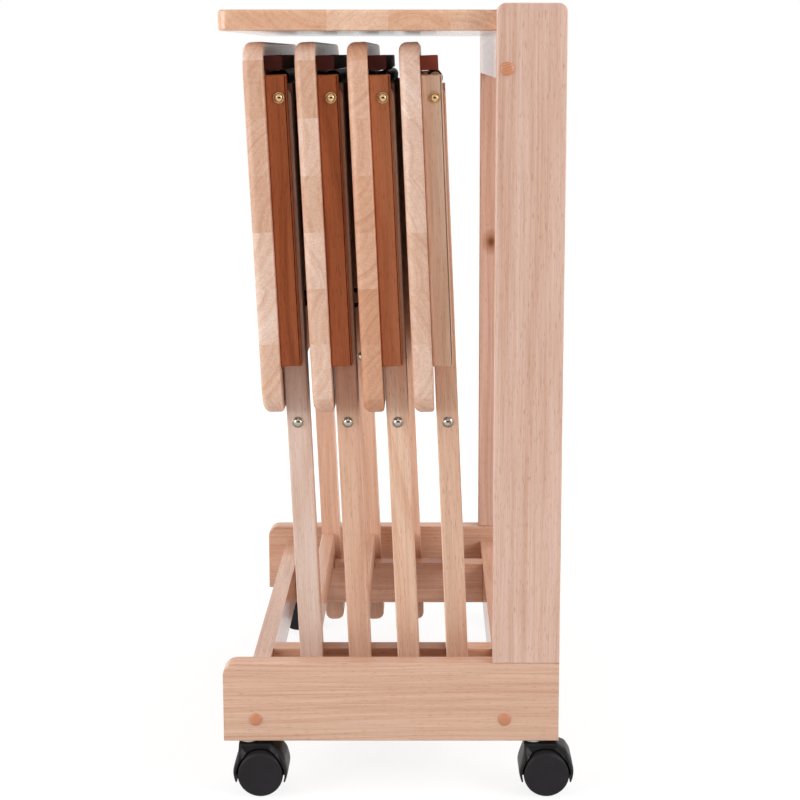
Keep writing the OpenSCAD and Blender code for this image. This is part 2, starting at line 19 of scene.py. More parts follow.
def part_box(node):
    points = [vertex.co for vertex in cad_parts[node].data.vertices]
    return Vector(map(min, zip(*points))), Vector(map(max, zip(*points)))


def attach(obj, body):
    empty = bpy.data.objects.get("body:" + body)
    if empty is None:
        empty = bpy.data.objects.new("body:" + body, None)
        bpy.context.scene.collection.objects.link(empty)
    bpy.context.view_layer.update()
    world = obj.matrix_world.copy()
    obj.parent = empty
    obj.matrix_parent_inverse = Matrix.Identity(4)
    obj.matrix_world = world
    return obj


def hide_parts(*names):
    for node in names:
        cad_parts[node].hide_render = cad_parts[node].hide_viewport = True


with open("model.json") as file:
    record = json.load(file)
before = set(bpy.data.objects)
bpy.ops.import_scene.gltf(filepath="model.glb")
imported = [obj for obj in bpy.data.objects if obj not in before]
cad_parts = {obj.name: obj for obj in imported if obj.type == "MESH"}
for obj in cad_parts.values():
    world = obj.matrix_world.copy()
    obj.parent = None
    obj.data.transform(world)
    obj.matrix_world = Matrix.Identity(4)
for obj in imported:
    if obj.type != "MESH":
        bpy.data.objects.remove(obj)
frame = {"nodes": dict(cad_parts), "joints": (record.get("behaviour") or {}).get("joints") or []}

log = logging.getLogger("tray_rack")
Point2 = tuple[float, float]
Point3 = tuple[float, float, float]
Material = bpy.types.Material
Socket = bpy.types.NodeSocket
Inputs = dict[str | int, object]
WHITE: Point3 = (1.0, 1.0, 1.0)
MM = 0.001


class Grain(Enum):
    """The way the wood fibres run in a piece: the turn, in degrees, that lays them along X and the
    glued staves side by side along Y."""

    LENGTHWISE = (0.0, 0.0, 0.0)
    ACROSS = (0.0, 0.0, -90.0)
    ACROSS_STANDING = (-90.0, -90.0, 0.0)
    UPRIGHT = (0.0, 90.0, 0.0)


class Side(Enum):
    """The two mirrored halves of the rack."""

    RIGHT = -1
    LEFT = 1


class Tone(Enum):
    """Shades of rubberwood in the set: pale face, body, ring and pore colours. The two redder tones are
    painted shade, for cleats that stand in shade between the trays.
    """

    COMMON = ("#E8CABC", "#E0BEAD", "#D2A792", "#A87558")
    RAIL = ("#E5C2AB", "#DFB8A0", "#D0A388", "#A87254")
    WARM = ("#EBC6AE", "#E4BBA2", "#D3A286", "#A26C50")
    PINK = ("#F2DED2", "#ECCFBE", "#DBB39B", "#B08468")
    PALE = ("#E9D3C7", "#E2C6B7", "#D0A994", "#A67B62")
    BRIGHT = ("#F8DDC8", "#F4CFB5", "#E4B494", "#B5805D")
    # The next two tones are painted shade: darker, redder copies of the wood for cleats in shade between
    # the trays. The first is for half shade and the second for deep shade.
    HALF_SHADE_PAINTED_AMBER = ("#D48B62", "#CA7E56", "#A9623D", "#74401F")
    SHADE_PAINTED_RED = ("#C07249", "#B5663E", "#8F4A2A", "#5C2C14")

    @classmethod
    def of_legs(cls, number: int) -> "Tone":
        """Tone of one table's outer legs."""
        return {1: cls.PALE, 2: cls.WARM}.get(number, cls.BRIGHT)

    @classmethod
    def of_tray(cls, number: int) -> "Tone":
        """Tone of one table's tray."""
        return {3: cls.WARM}.get(number, cls.PINK)

    @classmethod
    def of_cleats(cls, number: int) -> "Tone":
        """Tone of one table's cleats. The front tables' cleats stand in shade between the trays and get
        redder, darker painted shade; the last table's cleats catch the light and get a pale painted light.
        """
        return {3: cls.HALF_SHADE_PAINTED_AMBER, 4: cls.BRIGHT}.get(number, cls.SHADE_PAINTED_RED)


# ---------------------------------------------------------------- materials


def linear(hex_colour: str) -> tuple[float, float, float, float]:
    """Turns an sRGB hex value into a linear colour.

    Args:
        hex_colour: six hex digits after a hash.

    Returns:
        Linear red, green, blue and an alpha of 1.
    """
    parts = [int(hex_colour[i:i + 2], 16) / 255 for i in (1, 3, 5)]
    rgb = [c / 12.92 if c <= 0.04045 else ((c + 0.055) / 1.055) ** 2.4 for c in parts]
    return (rgb[0], rgb[1], rgb[2], 1.0)


@dataclass(frozen=True)
class Net:
    """A node tree, and short ways to extend it."""

    tree: bpy.types.NodeTree

    def feed(self, node: bpy.types.Node, inputs: Inputs) -> None:
        """Gives a node its values and links.

        Args:
            node: the node.
            inputs: value or output socket for each named or numbered input.
        """
        for name, value in inputs.items():
            socket = node.inputs[name]
            if isinstance(value, Socket):
                self.tree.links.new(value, socket)
            else:
                socket.default_value = value

    def add(self, kind: str, settings: dict[str, object] | None = None,
            inputs: Inputs | None = None) -> bpy.types.Node:
        """Adds a node.

        Args:
            kind: the node's type name.
            settings: attributes of the node.
            inputs: value or output socket for each named or numbered input.

        Returns:
            The new node.
        """
        node = self.tree.nodes.new(kind)
        for name, value in (settings or {}).items():
            setattr(node, name, value)
        self.feed(node, inputs or {})
        return node

    def own(self) -> Socket:
        """The object's own coordinates, in metres."""
        return self.add("ShaderNodeTexCoord").outputs["Object"]

    def split(self, vector: Socket) -> bpy.types.NodeOutputs:
        """The outputs X, Y and Z of a vector."""
        return self.add("ShaderNodeSeparateXYZ", inputs={"Vector": vector}).outputs

    def channels(self, colour: Socket) -> bpy.types.NodeOutputs:
        """The outputs Red, Green and Blue of a colour."""
        return self.add("ShaderNodeSeparateColor", inputs={"Color": colour}).outputs

    def join(self, **parts: Socket | float) -> Socket:
        """A vector from its X, Y and Z."""
        return self.add("ShaderNodeCombineXYZ", inputs=parts).outputs["Vector"]

    def maths(self, operation: str, first: Socket | float, second: Socket | float = 0.0) -> Socket:
        """The result of one Math node."""
        return self.add("ShaderNodeMath", {"operation": operation}, {0: first, 1: second}).outputs[0]

    def vectors(self, operation: str, first: Socket, second: Point3 = (0.0, 0.0, 0.0)) -> Socket:
        """The result of one Vector Math node."""
        node = self.add("ShaderNodeVectorMath", {"operation": operation}, {0: first, 1: second})
        return node.outputs["Value" if operation == "LENGTH" else "Vector"]

    def noise(self, vector: Socket, scale: float, detail: float, **more: float) -> Socket:
        """The value of a noise pattern."""
        return self.add("ShaderNodeTexNoise", inputs={
            "Vector": vector, "Scale": scale, "Detail": detail, **more}).outputs["Fac"]

    def span(self, value: Socket, low: float, high: float, start: float = 0.0,
             end: float = 1.0) -> Socket:
        """Spreads a value over a range.

        Args:
            value: the value.
            low: result at the start.
            high: result at the end.
            start: value where the range starts.
            end: value where it ends.

        Returns:
            The result.
        """
        return self.add("ShaderNodeMapRange", inputs={
            "Value": value, "From Min": start, "From Max": end, "To Min": low,
            "To Max": high}).outputs["Result"]

    def ramp(self, factor: Socket, *stops: tuple[float, str | Point3]) -> Socket:
        """Adds a colour ramp.

        Args:
            factor: the socket that drives the ramp.
            stops: place of each stop, and its colour as a hex value or as linear numbers.

        Returns:
            The ramp's colour socket.
        """
        node = self.add("ShaderNodeValToRGB", inputs={"Fac": factor})
        elements = node.color_ramp.elements
        while len(elements) < len(stops):
            elements.new(0.5)
        for element, (place, colour) in zip(elements, stops):
            element.position = place
            element.color = linear(colour) if isinstance(colour, str) else (*colour, 1.0)
        return node.outputs["Color"]

    def blend(self, mode: str, amount: Socket | float, ground: Socket,
              top: Socket | tuple[float, float, float, float]) -> Socket:
        """Lays one colour over another.

        Args:
            mode: the Mix node's blend type.
            amount: strength of the upper colour.
            ground: the colour below.
            top: the colour above.

        Returns:
            The mixed colour.
        """
        return self.add("ShaderNodeMix", {"data_type": "RGBA", "blend_type": mode},
                        {0: amount, 6: ground, 7: top}).outputs[2]

    def bump(self, height: Socket, strength: float, distance: float) -> Socket:
        """The normal of a relief, with its distance in metres."""
        return self.add("ShaderNodeBump", inputs={
            "Height": height, "Strength": strength, "Distance": distance}).outputs["Normal"]


def empty_material(name: str) -> tuple[Material, Net]:
    """Makes a material without nodes, and the net to fill it."""
    material = bpy.data.materials.new(name)
    material.use_nodes = True
    material.node_tree.nodes.clear()
    return material, Net(material.node_tree)


@dataclass(frozen=True)
class Finish:
    """A finish made of nodes round one Principled shader."""

    name: str

    def inputs(self, net: Net) -> Inputs:
        """Values and links of the shader's inputs; each finish gives its own."""
        raise NotImplementedError

    def build(self) -> Material:
        """Makes the material."""
        material, net = empty_material(self.name)
        shader = net.add("ShaderNodeBsdfPrincipled", inputs=self.inputs(net))
        net.add("ShaderNodeOutputMaterial", inputs={"Surface": shader.outputs["BSDF"]})
        return material


@dataclass(frozen=True)
class LacqueredRubberwood(Finish):
    """Sawn and sanded rubberwood under clear satin lacquer: pale pink-brown growth rings that show
    as arcs on end grain and as long flames on the faces, with short dark pores along the fibres."""

    tone: Tone
    grain: Grain
    seed: int
    centre: Point3
    lean: float = 0.0
    strip_mm: float = 0.0
    film: float = 0.35
    rubbed: bool = False
    knot: Point3 | None = None
    stave_mm: float = 310.0
    stagger: float = 0.37
    pith_mm: float = 70.0
    pith_aside: float = 1.6
    pith_near: float = 0.45
    pith_spread: float = 0.05
    ring_mm: float = 4.4
    ring_drift: float = 1.6
    bend: float = 0.035
    contrast: float = 0.24

    def coordinates(self, net: Net) -> Socket:
        """Turns the piece's own coordinates so that X runs along the fibres, in metres."""
        turned = net.vectors("SUBTRACT", net.own(), self.centre)
        for angles in ((0.0, self.lean, 0.0), [math.radians(a) for a in self.grain.value]):
            turned = net.add("ShaderNodeMapping", inputs={
                "Vector": turned, "Rotation": angles}).outputs["Vector"]
        return turned

    def stretched(self, net: Net, vector: Socket, along_mm: float, across_mm: float, detail: float,
                  distortion: float = 0.0) -> Socket:
        """Adds noise that is drawn out along the fibres.

        Args:
            net: the material's nodes.
            vector: coordinates with X along the fibres, in metres.
            along_mm: length of one feature.
            across_mm: width of one feature.
            detail: octaves of finer noise.
            distortion: how far the pattern wanders.

        Returns:
            The noise value.
        """
        scaled = net.add("ShaderNodeMapping", inputs={
            "Vector": vector, "Location": (self.seed * 7.31, self.seed * 3.77, self.seed * 5.19),
            "Scale": (1000 / along_mm, 1000 / across_mm, 1000 / across_mm)})
        return net.noise(scaled.outputs["Vector"], 1.0, detail, Distortion=distortion)

    def stave(self, net: Net, x: Socket, y: Socket) -> tuple[Socket, Socket]:
        """Finds the glued stave that a point lies in.

        Args:
            net: the material's nodes.
            x: place along the fibres.
            y: place across them.

        Returns:
            A colour whose channels are the stave's random numbers, and the place across the stave.
        """
        if self.strip_mm == 0:
            cell, within = net.join(X=float(self.seed)), y
        else:
            share = net.maths("MULTIPLY", y, 1000 / self.strip_mm)
            row = net.maths("FLOOR", share)
            aside = net.maths("SUBTRACT", share, net.maths("ADD", row, 0.5))
            within = net.maths("MULTIPLY", aside, self.strip_mm * MM)
            reach = net.maths("MULTIPLY", x, 1000 / self.stave_mm)
            start = net.maths("MULTIPLY", row, self.stagger)
            cell = net.join(X=row, Y=net.maths("FLOOR", net.maths("ADD", reach, start)),
                            Z=float(self.seed))
        return net.add("ShaderNodeTexWhiteNoise", inputs={"Vector": cell}).outputs["Color"], within

    def rings(self, net: Net, along: Socket, chance: Socket, within: Socket) -> Socket:
        """Adds growth rings round a pith that lies outside the piece and wanders along it.

        Args:
            net: the material's nodes.
            along: coordinates with X along the fibres, in metres.
            chance: the stave's random numbers.
            within: place across the stave, in metres.

        Returns:
            The ring pattern, from 0 to 1.
        """
        place, pick, pith = net.split(along), net.channels(chance), self.pith_mm * MM
        wander = net.maths("SUBTRACT", self.stretched(net, along, 380, 120, 1.0), 0.5)
        bend = net.maths("MULTIPLY", wander, self.bend)
        aside = net.maths("MULTIPLY", net.maths("SUBTRACT", pick["Red"], 0.5), self.pith_aside * pith)
        side = net.maths("SIGN", net.maths("SUBTRACT", pick["Green"], 0.5))
        deep = net.maths("ADD", net.maths("MULTIPLY", pick["Blue"], self.pith_spread),
                         self.pith_near * pith)
        y = net.maths("ADD", net.maths("ADD", within, aside), bend)
        z = net.maths("ADD", net.maths("ADD", place["Z"], net.maths("MULTIPLY", side, deep)), bend)
        square = net.maths("ADD", net.maths("MULTIPLY", y, y), net.maths("MULTIPLY", z, z))
        ring = net.join(X=net.maths("MULTIPLY", net.maths("SQRT", square), 1000 / self.ring_mm),
                        Y=net.maths("MULTIPLY", place["X"], self.ring_drift), Z=pick["Red"])
        return net.noise(ring, 1.0, 3.0, Roughness=0.62)

    def with_knot(self, net: Net, colour: Socket) -> Socket:
        """Adds a brown knot, 20 mm long, with a softer halo."""
        aside = net.vectors("SUBTRACT", net.own(), self.knot)
        away = net.vectors("LENGTH", net.vectors("MULTIPLY", aside, (1.0, 1.0, 0.75)))
        tint = net.ramp(net.maths("MULTIPLY", away, 60.0), (0.12, (0.30, 0.17, 0.10)),
                        (0.42, (0.74, 0.58, 0.48)), (0.85, WHITE))
        return net.blend("MULTIPLY", 1.0, colour, tint)

    def inputs(self, net: Net) -> Inputs:
        """Values and links of the shader's inputs."""
        along = self.coordinates(net)
        place = net.split(along)
        chance, within = self.stave(net, place["X"], place["Y"])
        # Streaks of 4 mm, and 1.3 mm fibres and pores, which are drawn coarser than the real
        # 0.2 mm so that they still show from two metres away.
        streaks = self.stretched(net, along, 170, 4.2, 3, 0.3)
        fibres = self.stretched(net, along, 70, 1.3, 2)
        pores = self.stretched(net, along, 10, 0.8, 1)
        clouds = self.stretched(net, along, 260, 55, 2)
        pale, body, band, pore = self.tone.value
        colour = net.ramp(self.rings(net, along, chance, within), (self.contrast, band),
                          (0.50, body), (0.80, pale))
        for pattern, start, dark, end, amount in (
                (streaks, 0.34, (0.78, 0.66, 0.58), 0.60, 0.28),
                (fibres, 0.3, (0.68, 0.56, 0.47), 0.60, 0.34),
                (clouds, 0.3, (0.88, 0.82, 0.78), 0.7, 0.5)):
            colour = net.blend("MULTIPLY", amount, colour, net.ramp(pattern, (start, dark), (end, WHITE)))
        if self.strip_mm > 0:
            shade = net.ramp(net.channels(chance)["Green"], (0.0, (0.79, 0.63, 0.51)),
                             (0.6, (0.92, 0.83, 0.76)), (1.0, WHITE))
            colour = net.blend("MULTIPLY", 1.0, colour, shade)
        if self.knot:
            colour = self.with_knot(net, colour)
        dash = net.maths("MULTIPLY", net.ramp(pores, (0.31, WHITE), (0.38, (0.0, 0.0, 0.0))), 0.42)
        # Sprayed lacquer over open fibres: a smooth film on a slightly rough ground, so faces seen
        # at a low angle mirror what is behind them.
        given = {
            "Base Color": net.blend("MIX", dash, colour, linear(pore)),
            "Roughness": net.span(fibres, 0.40, 0.52), "IOR": 1.5, "Specular IOR Level": 0.15,
            "Coat Weight": self.film, "Coat Roughness": 0.2 - 0.08 * self.film,
            "Normal": net.bump(fibres, 0.2, 0.0002)}
        if self.rubbed:
            # The face that is used is rubbed down dull, so it keeps its colour at a flat angle.
            # Open fault: the export drops a linked specular level, so there it comes out glossier.
            facing = net.split(net.add("ShaderNodeNewGeometry").outputs["Normal"])["Z"]
            film = net.span(facing, self.film, 0.0, 0.5, 0.9)
            given |= {"Coat Weight": film, "Specular IOR Level": net.maths("MULTIPLY", film, 0.16)}
        return given


@dataclass(frozen=True)
class TurnedEndGrain(Finish):
    """Turned wooden caps: end grain drinks the lacquer, so they are redder and darker, with rings."""

    name: str = "turned_end_grain_caps"
    pale: str = "#D79A74"
    deep: str = "#B06A48"

    def inputs(self, net: Net) -> Inputs:
        """Values and links of the shader's inputs."""
        # Year rings about 1.5 mm apart across a 13 mm cap.
        rings = net.add("ShaderNodeTexWave", {"wave_type": "RINGS", "rings_direction": "Y"}, {
            "Vector": net.own(), "Scale": 220.0, "Distortion": 3.0, "Detail": 2.0}).outputs["Fac"]
        return {"Base Color": net.ramp(rings, (0.2, self.deep), (0.8, self.pale)), "Roughness": 0.42}


@dataclass(frozen=True)
class NickelPlatedSteel(Finish):
    """Pressed steel heads under bright nickel: a warm mirror with faint swirl marks."""

    name: str = "nickel_plated_steel"
    colour: str = "#B9B3A8"
    dull: str = "#9A9388"
    rough: float = 0.1

    def inputs(self, net: Net) -> Inputs:
        """Values and links of the shader's inputs."""
        # Tumbling marks about 1 mm long.
        marks = net.noise(net.own(), 900.0, 3.0)
        return {"Base Color": net.ramp(marks, (0.3, self.dull), (0.7, self.colour)),
                "Roughness": net.span(marks, self.rough * 0.7, self.rough * 1.6), "Metallic": 1.0}


@dataclass(frozen=True)
class SprayedEnamel(Finish):
    """Steel tube under sprayed and baked black enamel: a soft gloss with slight orange peel."""

    name: str = "baked_black_enamel"
    colour: str = "#151416"
    deep: str = "#100F11"

    def inputs(self, net: Net) -> Inputs:
        """Values and links of the shader's inputs."""
        # Orange peel with waves of about 3 mm.
        peel = net.noise(net.own(), 320.0, 1.0)
        return {"Base Color": net.ramp(peel, (0.3, self.deep), (0.7, self.colour)), "Roughness": 0.42,
                "Specular IOR Level": 0.12, "Normal": net.bump(peel, 0.08, 0.0004)}


@dataclass(frozen=True)
class MouldedPlastic(Finish):
    """Injection-moulded plastic with a fine spark-eroded texture that breaks up the gloss."""

    colour: str
    worn: str
    rough: float
    texture_mm: float = 0.8
    relief: float = 0.12
    shine: float = 0.22

    def inputs(self, net: Net) -> Inputs:
        """Values and links of the shader's inputs."""
        own = net.own()
        # The real spark texture is 0.1 mm; it is drawn coarser so that it shows.
        spark = net.noise(own, 1000 / self.texture_mm, 2.0)
        cloud = net.noise(own, 60.0, 3.0)
        return {"Base Color": net.ramp(cloud, (0.35, self.colour), (0.7, self.worn)),
                "Roughness": net.span(cloud, self.rough - 0.06, self.rough + 0.08), "IOR": 1.5,
                "Specular IOR Level": self.shine, "Normal": net.bump(spark, self.relief, 0.0003)}


@dataclass
class Woods:
    """Hands out rubberwood finishes, each with its own stretch of grain."""

    count: int = 0

    def get(self, node: str, grain: Grain, tone: Tone = Tone.COMMON, **details: object) -> Material:
        """Makes the next finish.

        Args:
            node: the CAD node that it is for, whose middle the growth rings are laid out from.
            grain: the way the fibres run.
            tone: the shade of the wood.
            details: other fields of the finish.

        Returns:
            The material.
        """
        self.count += 1
        low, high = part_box(node)
        centre = tuple((a + b) / 2 for a, b in zip(low, high))
        return LacqueredRubberwood(f"lacquered_rubberwood_{self.count:02d}", tone, grain, self.count,
                                   centre, **details).build()


# ---------------------------------------------------------------- outlines and meshes


def rounded(corners: Sequence[tuple[float, float, float]], steps: int = 6) -> list[Point2]:
    """Rounds the corners of a closed outline.

    Args:
        corners: x, z and radius of each corner, counter-clockwise.
        steps: segments in each rounded corner.

    Returns:
        The outline's points.
    """
    points: list[Point2] = []
    count = len(corners)
    for i, (x, z, r) in enumerate(corners):
        here = Vector((x, z))
        before = (Vector(corners[i - 1][:2]) - here).normalized()
        after = (Vector(corners[(i + 1) % count][:2]) - here).normalized()
        if r <= 0:
            points.append((x, z))
            continue
        half = before.angle(after) / 2
        reach = r / math.tan(half)
        centre = here + (before + after).normalized() * (r / math.sin(half))
        start = here + before * reach - centre
        end = here + after * reach - centre
        turn = start.angle_signed(end)
        for k in range(steps + 1):
            p = centre + Matrix.Rotation(-turn * k / steps, 2) @ start
            points.append((p.x, p.y))
    return points


def arc(centre: Point2, radius: float, start_deg: float, end_deg: float, steps: int) -> list[Point2]:
    """Points on an arc.

    Args:
        centre: the arc's middle.
        radius: its radius.
        start_deg: first angle, counter-clockwise from +X.
        end_deg: last angle.
        steps: segments.

    Returns:
        The points, ends included.
    """
    angles = [math.radians(start_deg + (end_deg - start_deg) * k / steps) for k in range(steps + 1)]
    return [(centre[0] + radius * math.cos(a), centre[1] + radius * math.sin(a)) for a in angles]


def inset(points: Sequence[Point2], depth: float) -> list[Point2]:
    """Moves a counter-clockwise outline inwards by an even depth.

    Args:
        points: the outline.
        depth: how far it moves.

    Returns:
        As many points as came in.
    """
    out = []
    count = len(points)
    for i, p in enumerate(points):
        a = (Vector(p) - Vector(points[i - 1])).normalized()
        b = (Vector(points[(i + 1) % count]) - Vector(p)).normalized()
        na, nb = Vector((a.y, -a.x)), Vector((b.y, -b.x))
        mitre = (na + nb) / max(0.35, 1 + na.dot(nb))
        out.append((p[0] - mitre.x * depth, p[1] - mitre.y * depth))
    return out


@dataclass
class Solid:
    """A mesh in the making, in millimetres."""

    verts: list[Point3] = field(default_factory=list)
    faces: list[list[int]] = field(default_factory=list)

    def ring_stack(self, rings: Sequence[Sequence[Point3]], closed: bool = True) -> None:
        """Joins rings of equal length into a skin.

        Args:
            rings: the rings, each counter-clockwise when seen from the last one.
            closed: whether the two end rings get a lid.
        """
        base, size = len(self.verts), len(rings[0])
        for ring in rings:
            self.verts.extend(ring)
        for k in range(len(rings) - 1):
            for j in range(size):
                a, b = base + k * size + j, base + k * size + (j + 1) % size
                self.faces.append([a, b, b + size, a + size])
        if closed:
            self.faces.append([base + j for j in reversed(range(size))])
            last = base + (len(rings) - 1) * size
            self.faces.append([last + j for j in range(size)])

    def plate(self, outline: Sequence[Point2], low: float, high: float, edge_low: float,
              edge_high: float, place: Callable[[float, float, float], Point3], steps: int = 3) -> None:
        """Raises a plate from an outline, with rounded edges round both faces.

        Args:
            outline: the widest outline, counter-clockwise.
            low: height of the lower face.
            high: height of the upper face.
            edge_low: radius of the lower edge.
            edge_high: radius of the upper edge.
            place: turns outline x, outline y and height into a point.
            steps: segments in each rounded edge.
        """
        turns = [math.pi / 2 * k / steps for k in range(steps + 1)]
        levels = [(edge_low * (1 - math.sin(a)), low + edge_low * (1 - math.cos(a))) for a in turns]
        levels += [(edge_high * (1 - math.cos(a)), high - edge_high * (1 - math.sin(a))) for a in turns]
        self.ring_stack([[place(x, y, h) for x, y in inset(outline, d)] for d, h in levels])

    def turned(self, profile: Sequence[Point2], place: Callable[[float, float, float], Point3],
               segments: int = 64) -> None:
        """Turns a closed profile round an axis.

        Args:
            profile: radius and height of each point, in order round the section.
            place: turns x, y and height into a point.
            segments: steps round the axis.
        """
        base, size = len(self.verts), len(profile)
        for k in range(segments):
            a = 2 * math.pi * k / segments
            self.verts.extend(place(r * math.cos(a), r * math.sin(a), h) for r, h in profile)
        for k in range(segments):
            here, there = base + k * size, base + ((k + 1) % segments) * size
            for j in range(size):
                after = (j + 1) % size
                self.faces.append([here + j, here + after, there + after, there + j])

    def bake(self, name: str, material: Material, body: str,
             stands_for: str | None = None) -> bpy.types.Object:
        """Makes the piece and hangs it on its body.

        Args:
            name: the piece's name.
            material: its finish.
            body: the body it moves with.
            stands_for: the solid that it replaces.

        Returns:
            The finished piece.
        """
        mesh = bpy.data.meshes.new(name)
        mesh.from_pydata([tuple(c * MM for c in v) for v in self.verts], [], self.faces)
        return dress(mesh, name, material, body, stands_for)


def dress(mesh: bpy.types.Mesh, name: str, material: Material, body: str,
          stands_for: str | None) -> bpy.types.Object:
    """Cleans a mesh, shades it and hangs it on its body.

    Args:
        mesh: the mesh, in metres in the row frame.
        name: the piece's name.
        material: its finish.
        body: the body it moves with.
        stands_for: the solid that it replaces.

    Returns:
        The finished piece.
    """
    work = bmesh.new()
    work.from_mesh(mesh)
    bmesh.ops.remove_doubles(work, verts=work.verts, dist=1e-6)
    bmesh.ops.recalc_face_normals(work, faces=work.faces)
    work.to_mesh(mesh)
    work.free()
    mesh.polygons.foreach_set("use_smooth", [True] * len(mesh.polygons))
    mesh.set_sharp_from_angle(angle=math.radians(50))
    mesh.materials.clear()
    mesh.materials.append(material)
    piece = bpy.data.objects.new(name, mesh)
    bpy.context.collection.objects.link(piece)
    even = piece.modifiers.new("even_normals", "WEIGHTED_NORMAL")
    even.keep_sharp = True
    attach(piece, body)
    if stands_for:
        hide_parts(stands_for)
    log.info("%s on %s: %d faces", name, body, len(mesh.polygons))
    return piece


def node_box(node: str) -> tuple[Point3, Point3]:
    """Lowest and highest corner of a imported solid, in millimetres."""
    low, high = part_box(node)
    return tuple(c / MM for c in low), tuple(c / MM for c in high)


# ---------------------------------------------------------------- repeated small pieces


def heads_tree() -> bpy.types.NodeTree:
    """Builds the node tree that sets a domed head with a rolled ring round its foot on every point
    of a mesh.

    Returns:
        The tree, with named inputs for the heads' sizes and material.
    """
    tree = bpy.data.node_groups.new("domed_heads", "GeometryNodeTree")
    face = tree.interface
    face.new_socket("Geometry", in_out="INPUT", socket_type="NodeSocketGeometry")
    for name, value in (("Head Radius", 0.0055), ("Head Height", 0.003), ("Ring Radius", 0.005),
                        ("Wire Radius", 0.0005)):
        face.new_socket(name, in_out="INPUT", socket_type="NodeSocketFloat").default_value = value
    face.new_socket("Finish", in_out="INPUT", socket_type="NodeSocketMaterial")
    face.new_socket("Geometry", in_out="OUTPUT", socket_type="NodeSocketGeometry")
    net = Net(tree)
    given = net.add("NodeGroupInput").outputs
    ball = net.add("GeometryNodeMeshUVSphere", inputs={"Segments": 32, "Rings": 16, "Radius": 1.0})
    size = net.join(X=given["Head Radius"], Y=given["Head Radius"], Z=given["Head Height"])
    dome = net.add("GeometryNodeTransform", inputs={"Geometry": ball.outputs["Mesh"], "Scale": size})
    path = net.add("GeometryNodeCurvePrimitiveCircle", {"mode": "RADIUS"}, {
        "Resolution": 32, "Radius": given["Ring Radius"]})
    wire = net.add("GeometryNodeCurvePrimitiveCircle", {"mode": "RADIUS"}, {
        "Resolution": 12, "Radius": given["Wire Radius"]})
    ring = net.add("GeometryNodeCurveToMesh", inputs={
        "Curve": path.outputs["Curve"], "Profile Curve": wire.outputs["Curve"]})
    foot = net.add("GeometryNodeTransform", inputs={
        "Geometry": ring.outputs["Mesh"], "Translation": net.join(Z=given["Wire Radius"])})
    head = net.add("GeometryNodeJoinGeometry")
    tree.links.new(dome.outputs["Geometry"], head.inputs["Geometry"])
    tree.links.new(foot.outputs["Geometry"], head.inputs["Geometry"])
    turn = net.add("GeometryNodeInputNamedAttribute", {"data_type": "FLOAT_VECTOR"},
                   {"Name": "turn"})
    points = net.add("GeometryNodeMeshToPoints", inputs={"Mesh": given["Geometry"]})
    placed = net.add("GeometryNodeInstanceOnPoints", inputs={
        "Points": points.outputs["Points"], "Instance": head.outputs["Geometry"],
        "Rotation": turn.outputs["Attribute"]})
    real = net.add("GeometryNodeRealizeInstances", inputs={"Geometry": placed.outputs["Instances"]})
    coated = net.add("GeometryNodeSetMaterial", inputs={
        "Geometry": real.outputs["Geometry"], "Material": given["Finish"]})
    net.add("NodeGroupOutput", inputs={"Geometry": coated.outputs["Geometry"]})
    return tree


@dataclass
class DomedHeads:
    """A set of equal domed heads with rolled feet: rivets, cap nuts or wooden caps."""

    name: str
    radius: float
    height: float
    ring_radius: float
    wire_radius: float
    finish: Material

    def build(self, tree: bpy.types.NodeTree, spots: Sequence[tuple[Point3, Side]], body: str,
              slot: str, stands_for: str | None = None) -> bpy.types.Object:
        """Sets the heads on their spots.

        Args:
            tree: the tree from heads_tree.
            spots: place of each head's foot, in millimetres, and the side that it faces.
            body: the body they move with.
            slot: the record's material slot; not used.
            stands_for: the solid that they replace.

        Returns:
            The finished piece.
        """
        seed = bpy.data.meshes.new(self.name + "_spots")
        seed.from_pydata([tuple(c * MM for c in spot) for spot, _ in spots], [], [])
        turn = seed.attributes.new("turn", "FLOAT_VECTOR", "POINT")
        for i, (_, side) in enumerate(spots):
            turn.data[i].vector = (-side.value * math.pi / 2, 0, 0)
        holder = bpy.data.objects.new(self.name + "_holder", seed)
        bpy.context.collection.objects.link(holder)
        grow = holder.modifiers.new("heads", "NODES")
        grow.node_group = tree
        sockets = {item.name: item.identifier for item in tree.interface.items_tree
                   if item.in_out == "INPUT"}
        for label, value in (("Head Radius", self.radius), ("Head Height", self.height),
                             ("Ring Radius", self.ring_radius), ("Wire Radius", self.wire_radius)):
            grow[sockets[label]] = value * MM
        grow[sockets["Finish"]] = self.finish
        view = bpy.context.evaluated_depsgraph_get()
        mesh = bpy.data.meshes.new_from_object(holder.evaluated_get(view))
        bpy.data.objects.remove(holder)
        return dress(mesh, self.name, self.finish, body, stands_for)


# ---------------------------------------------------------------- the rack


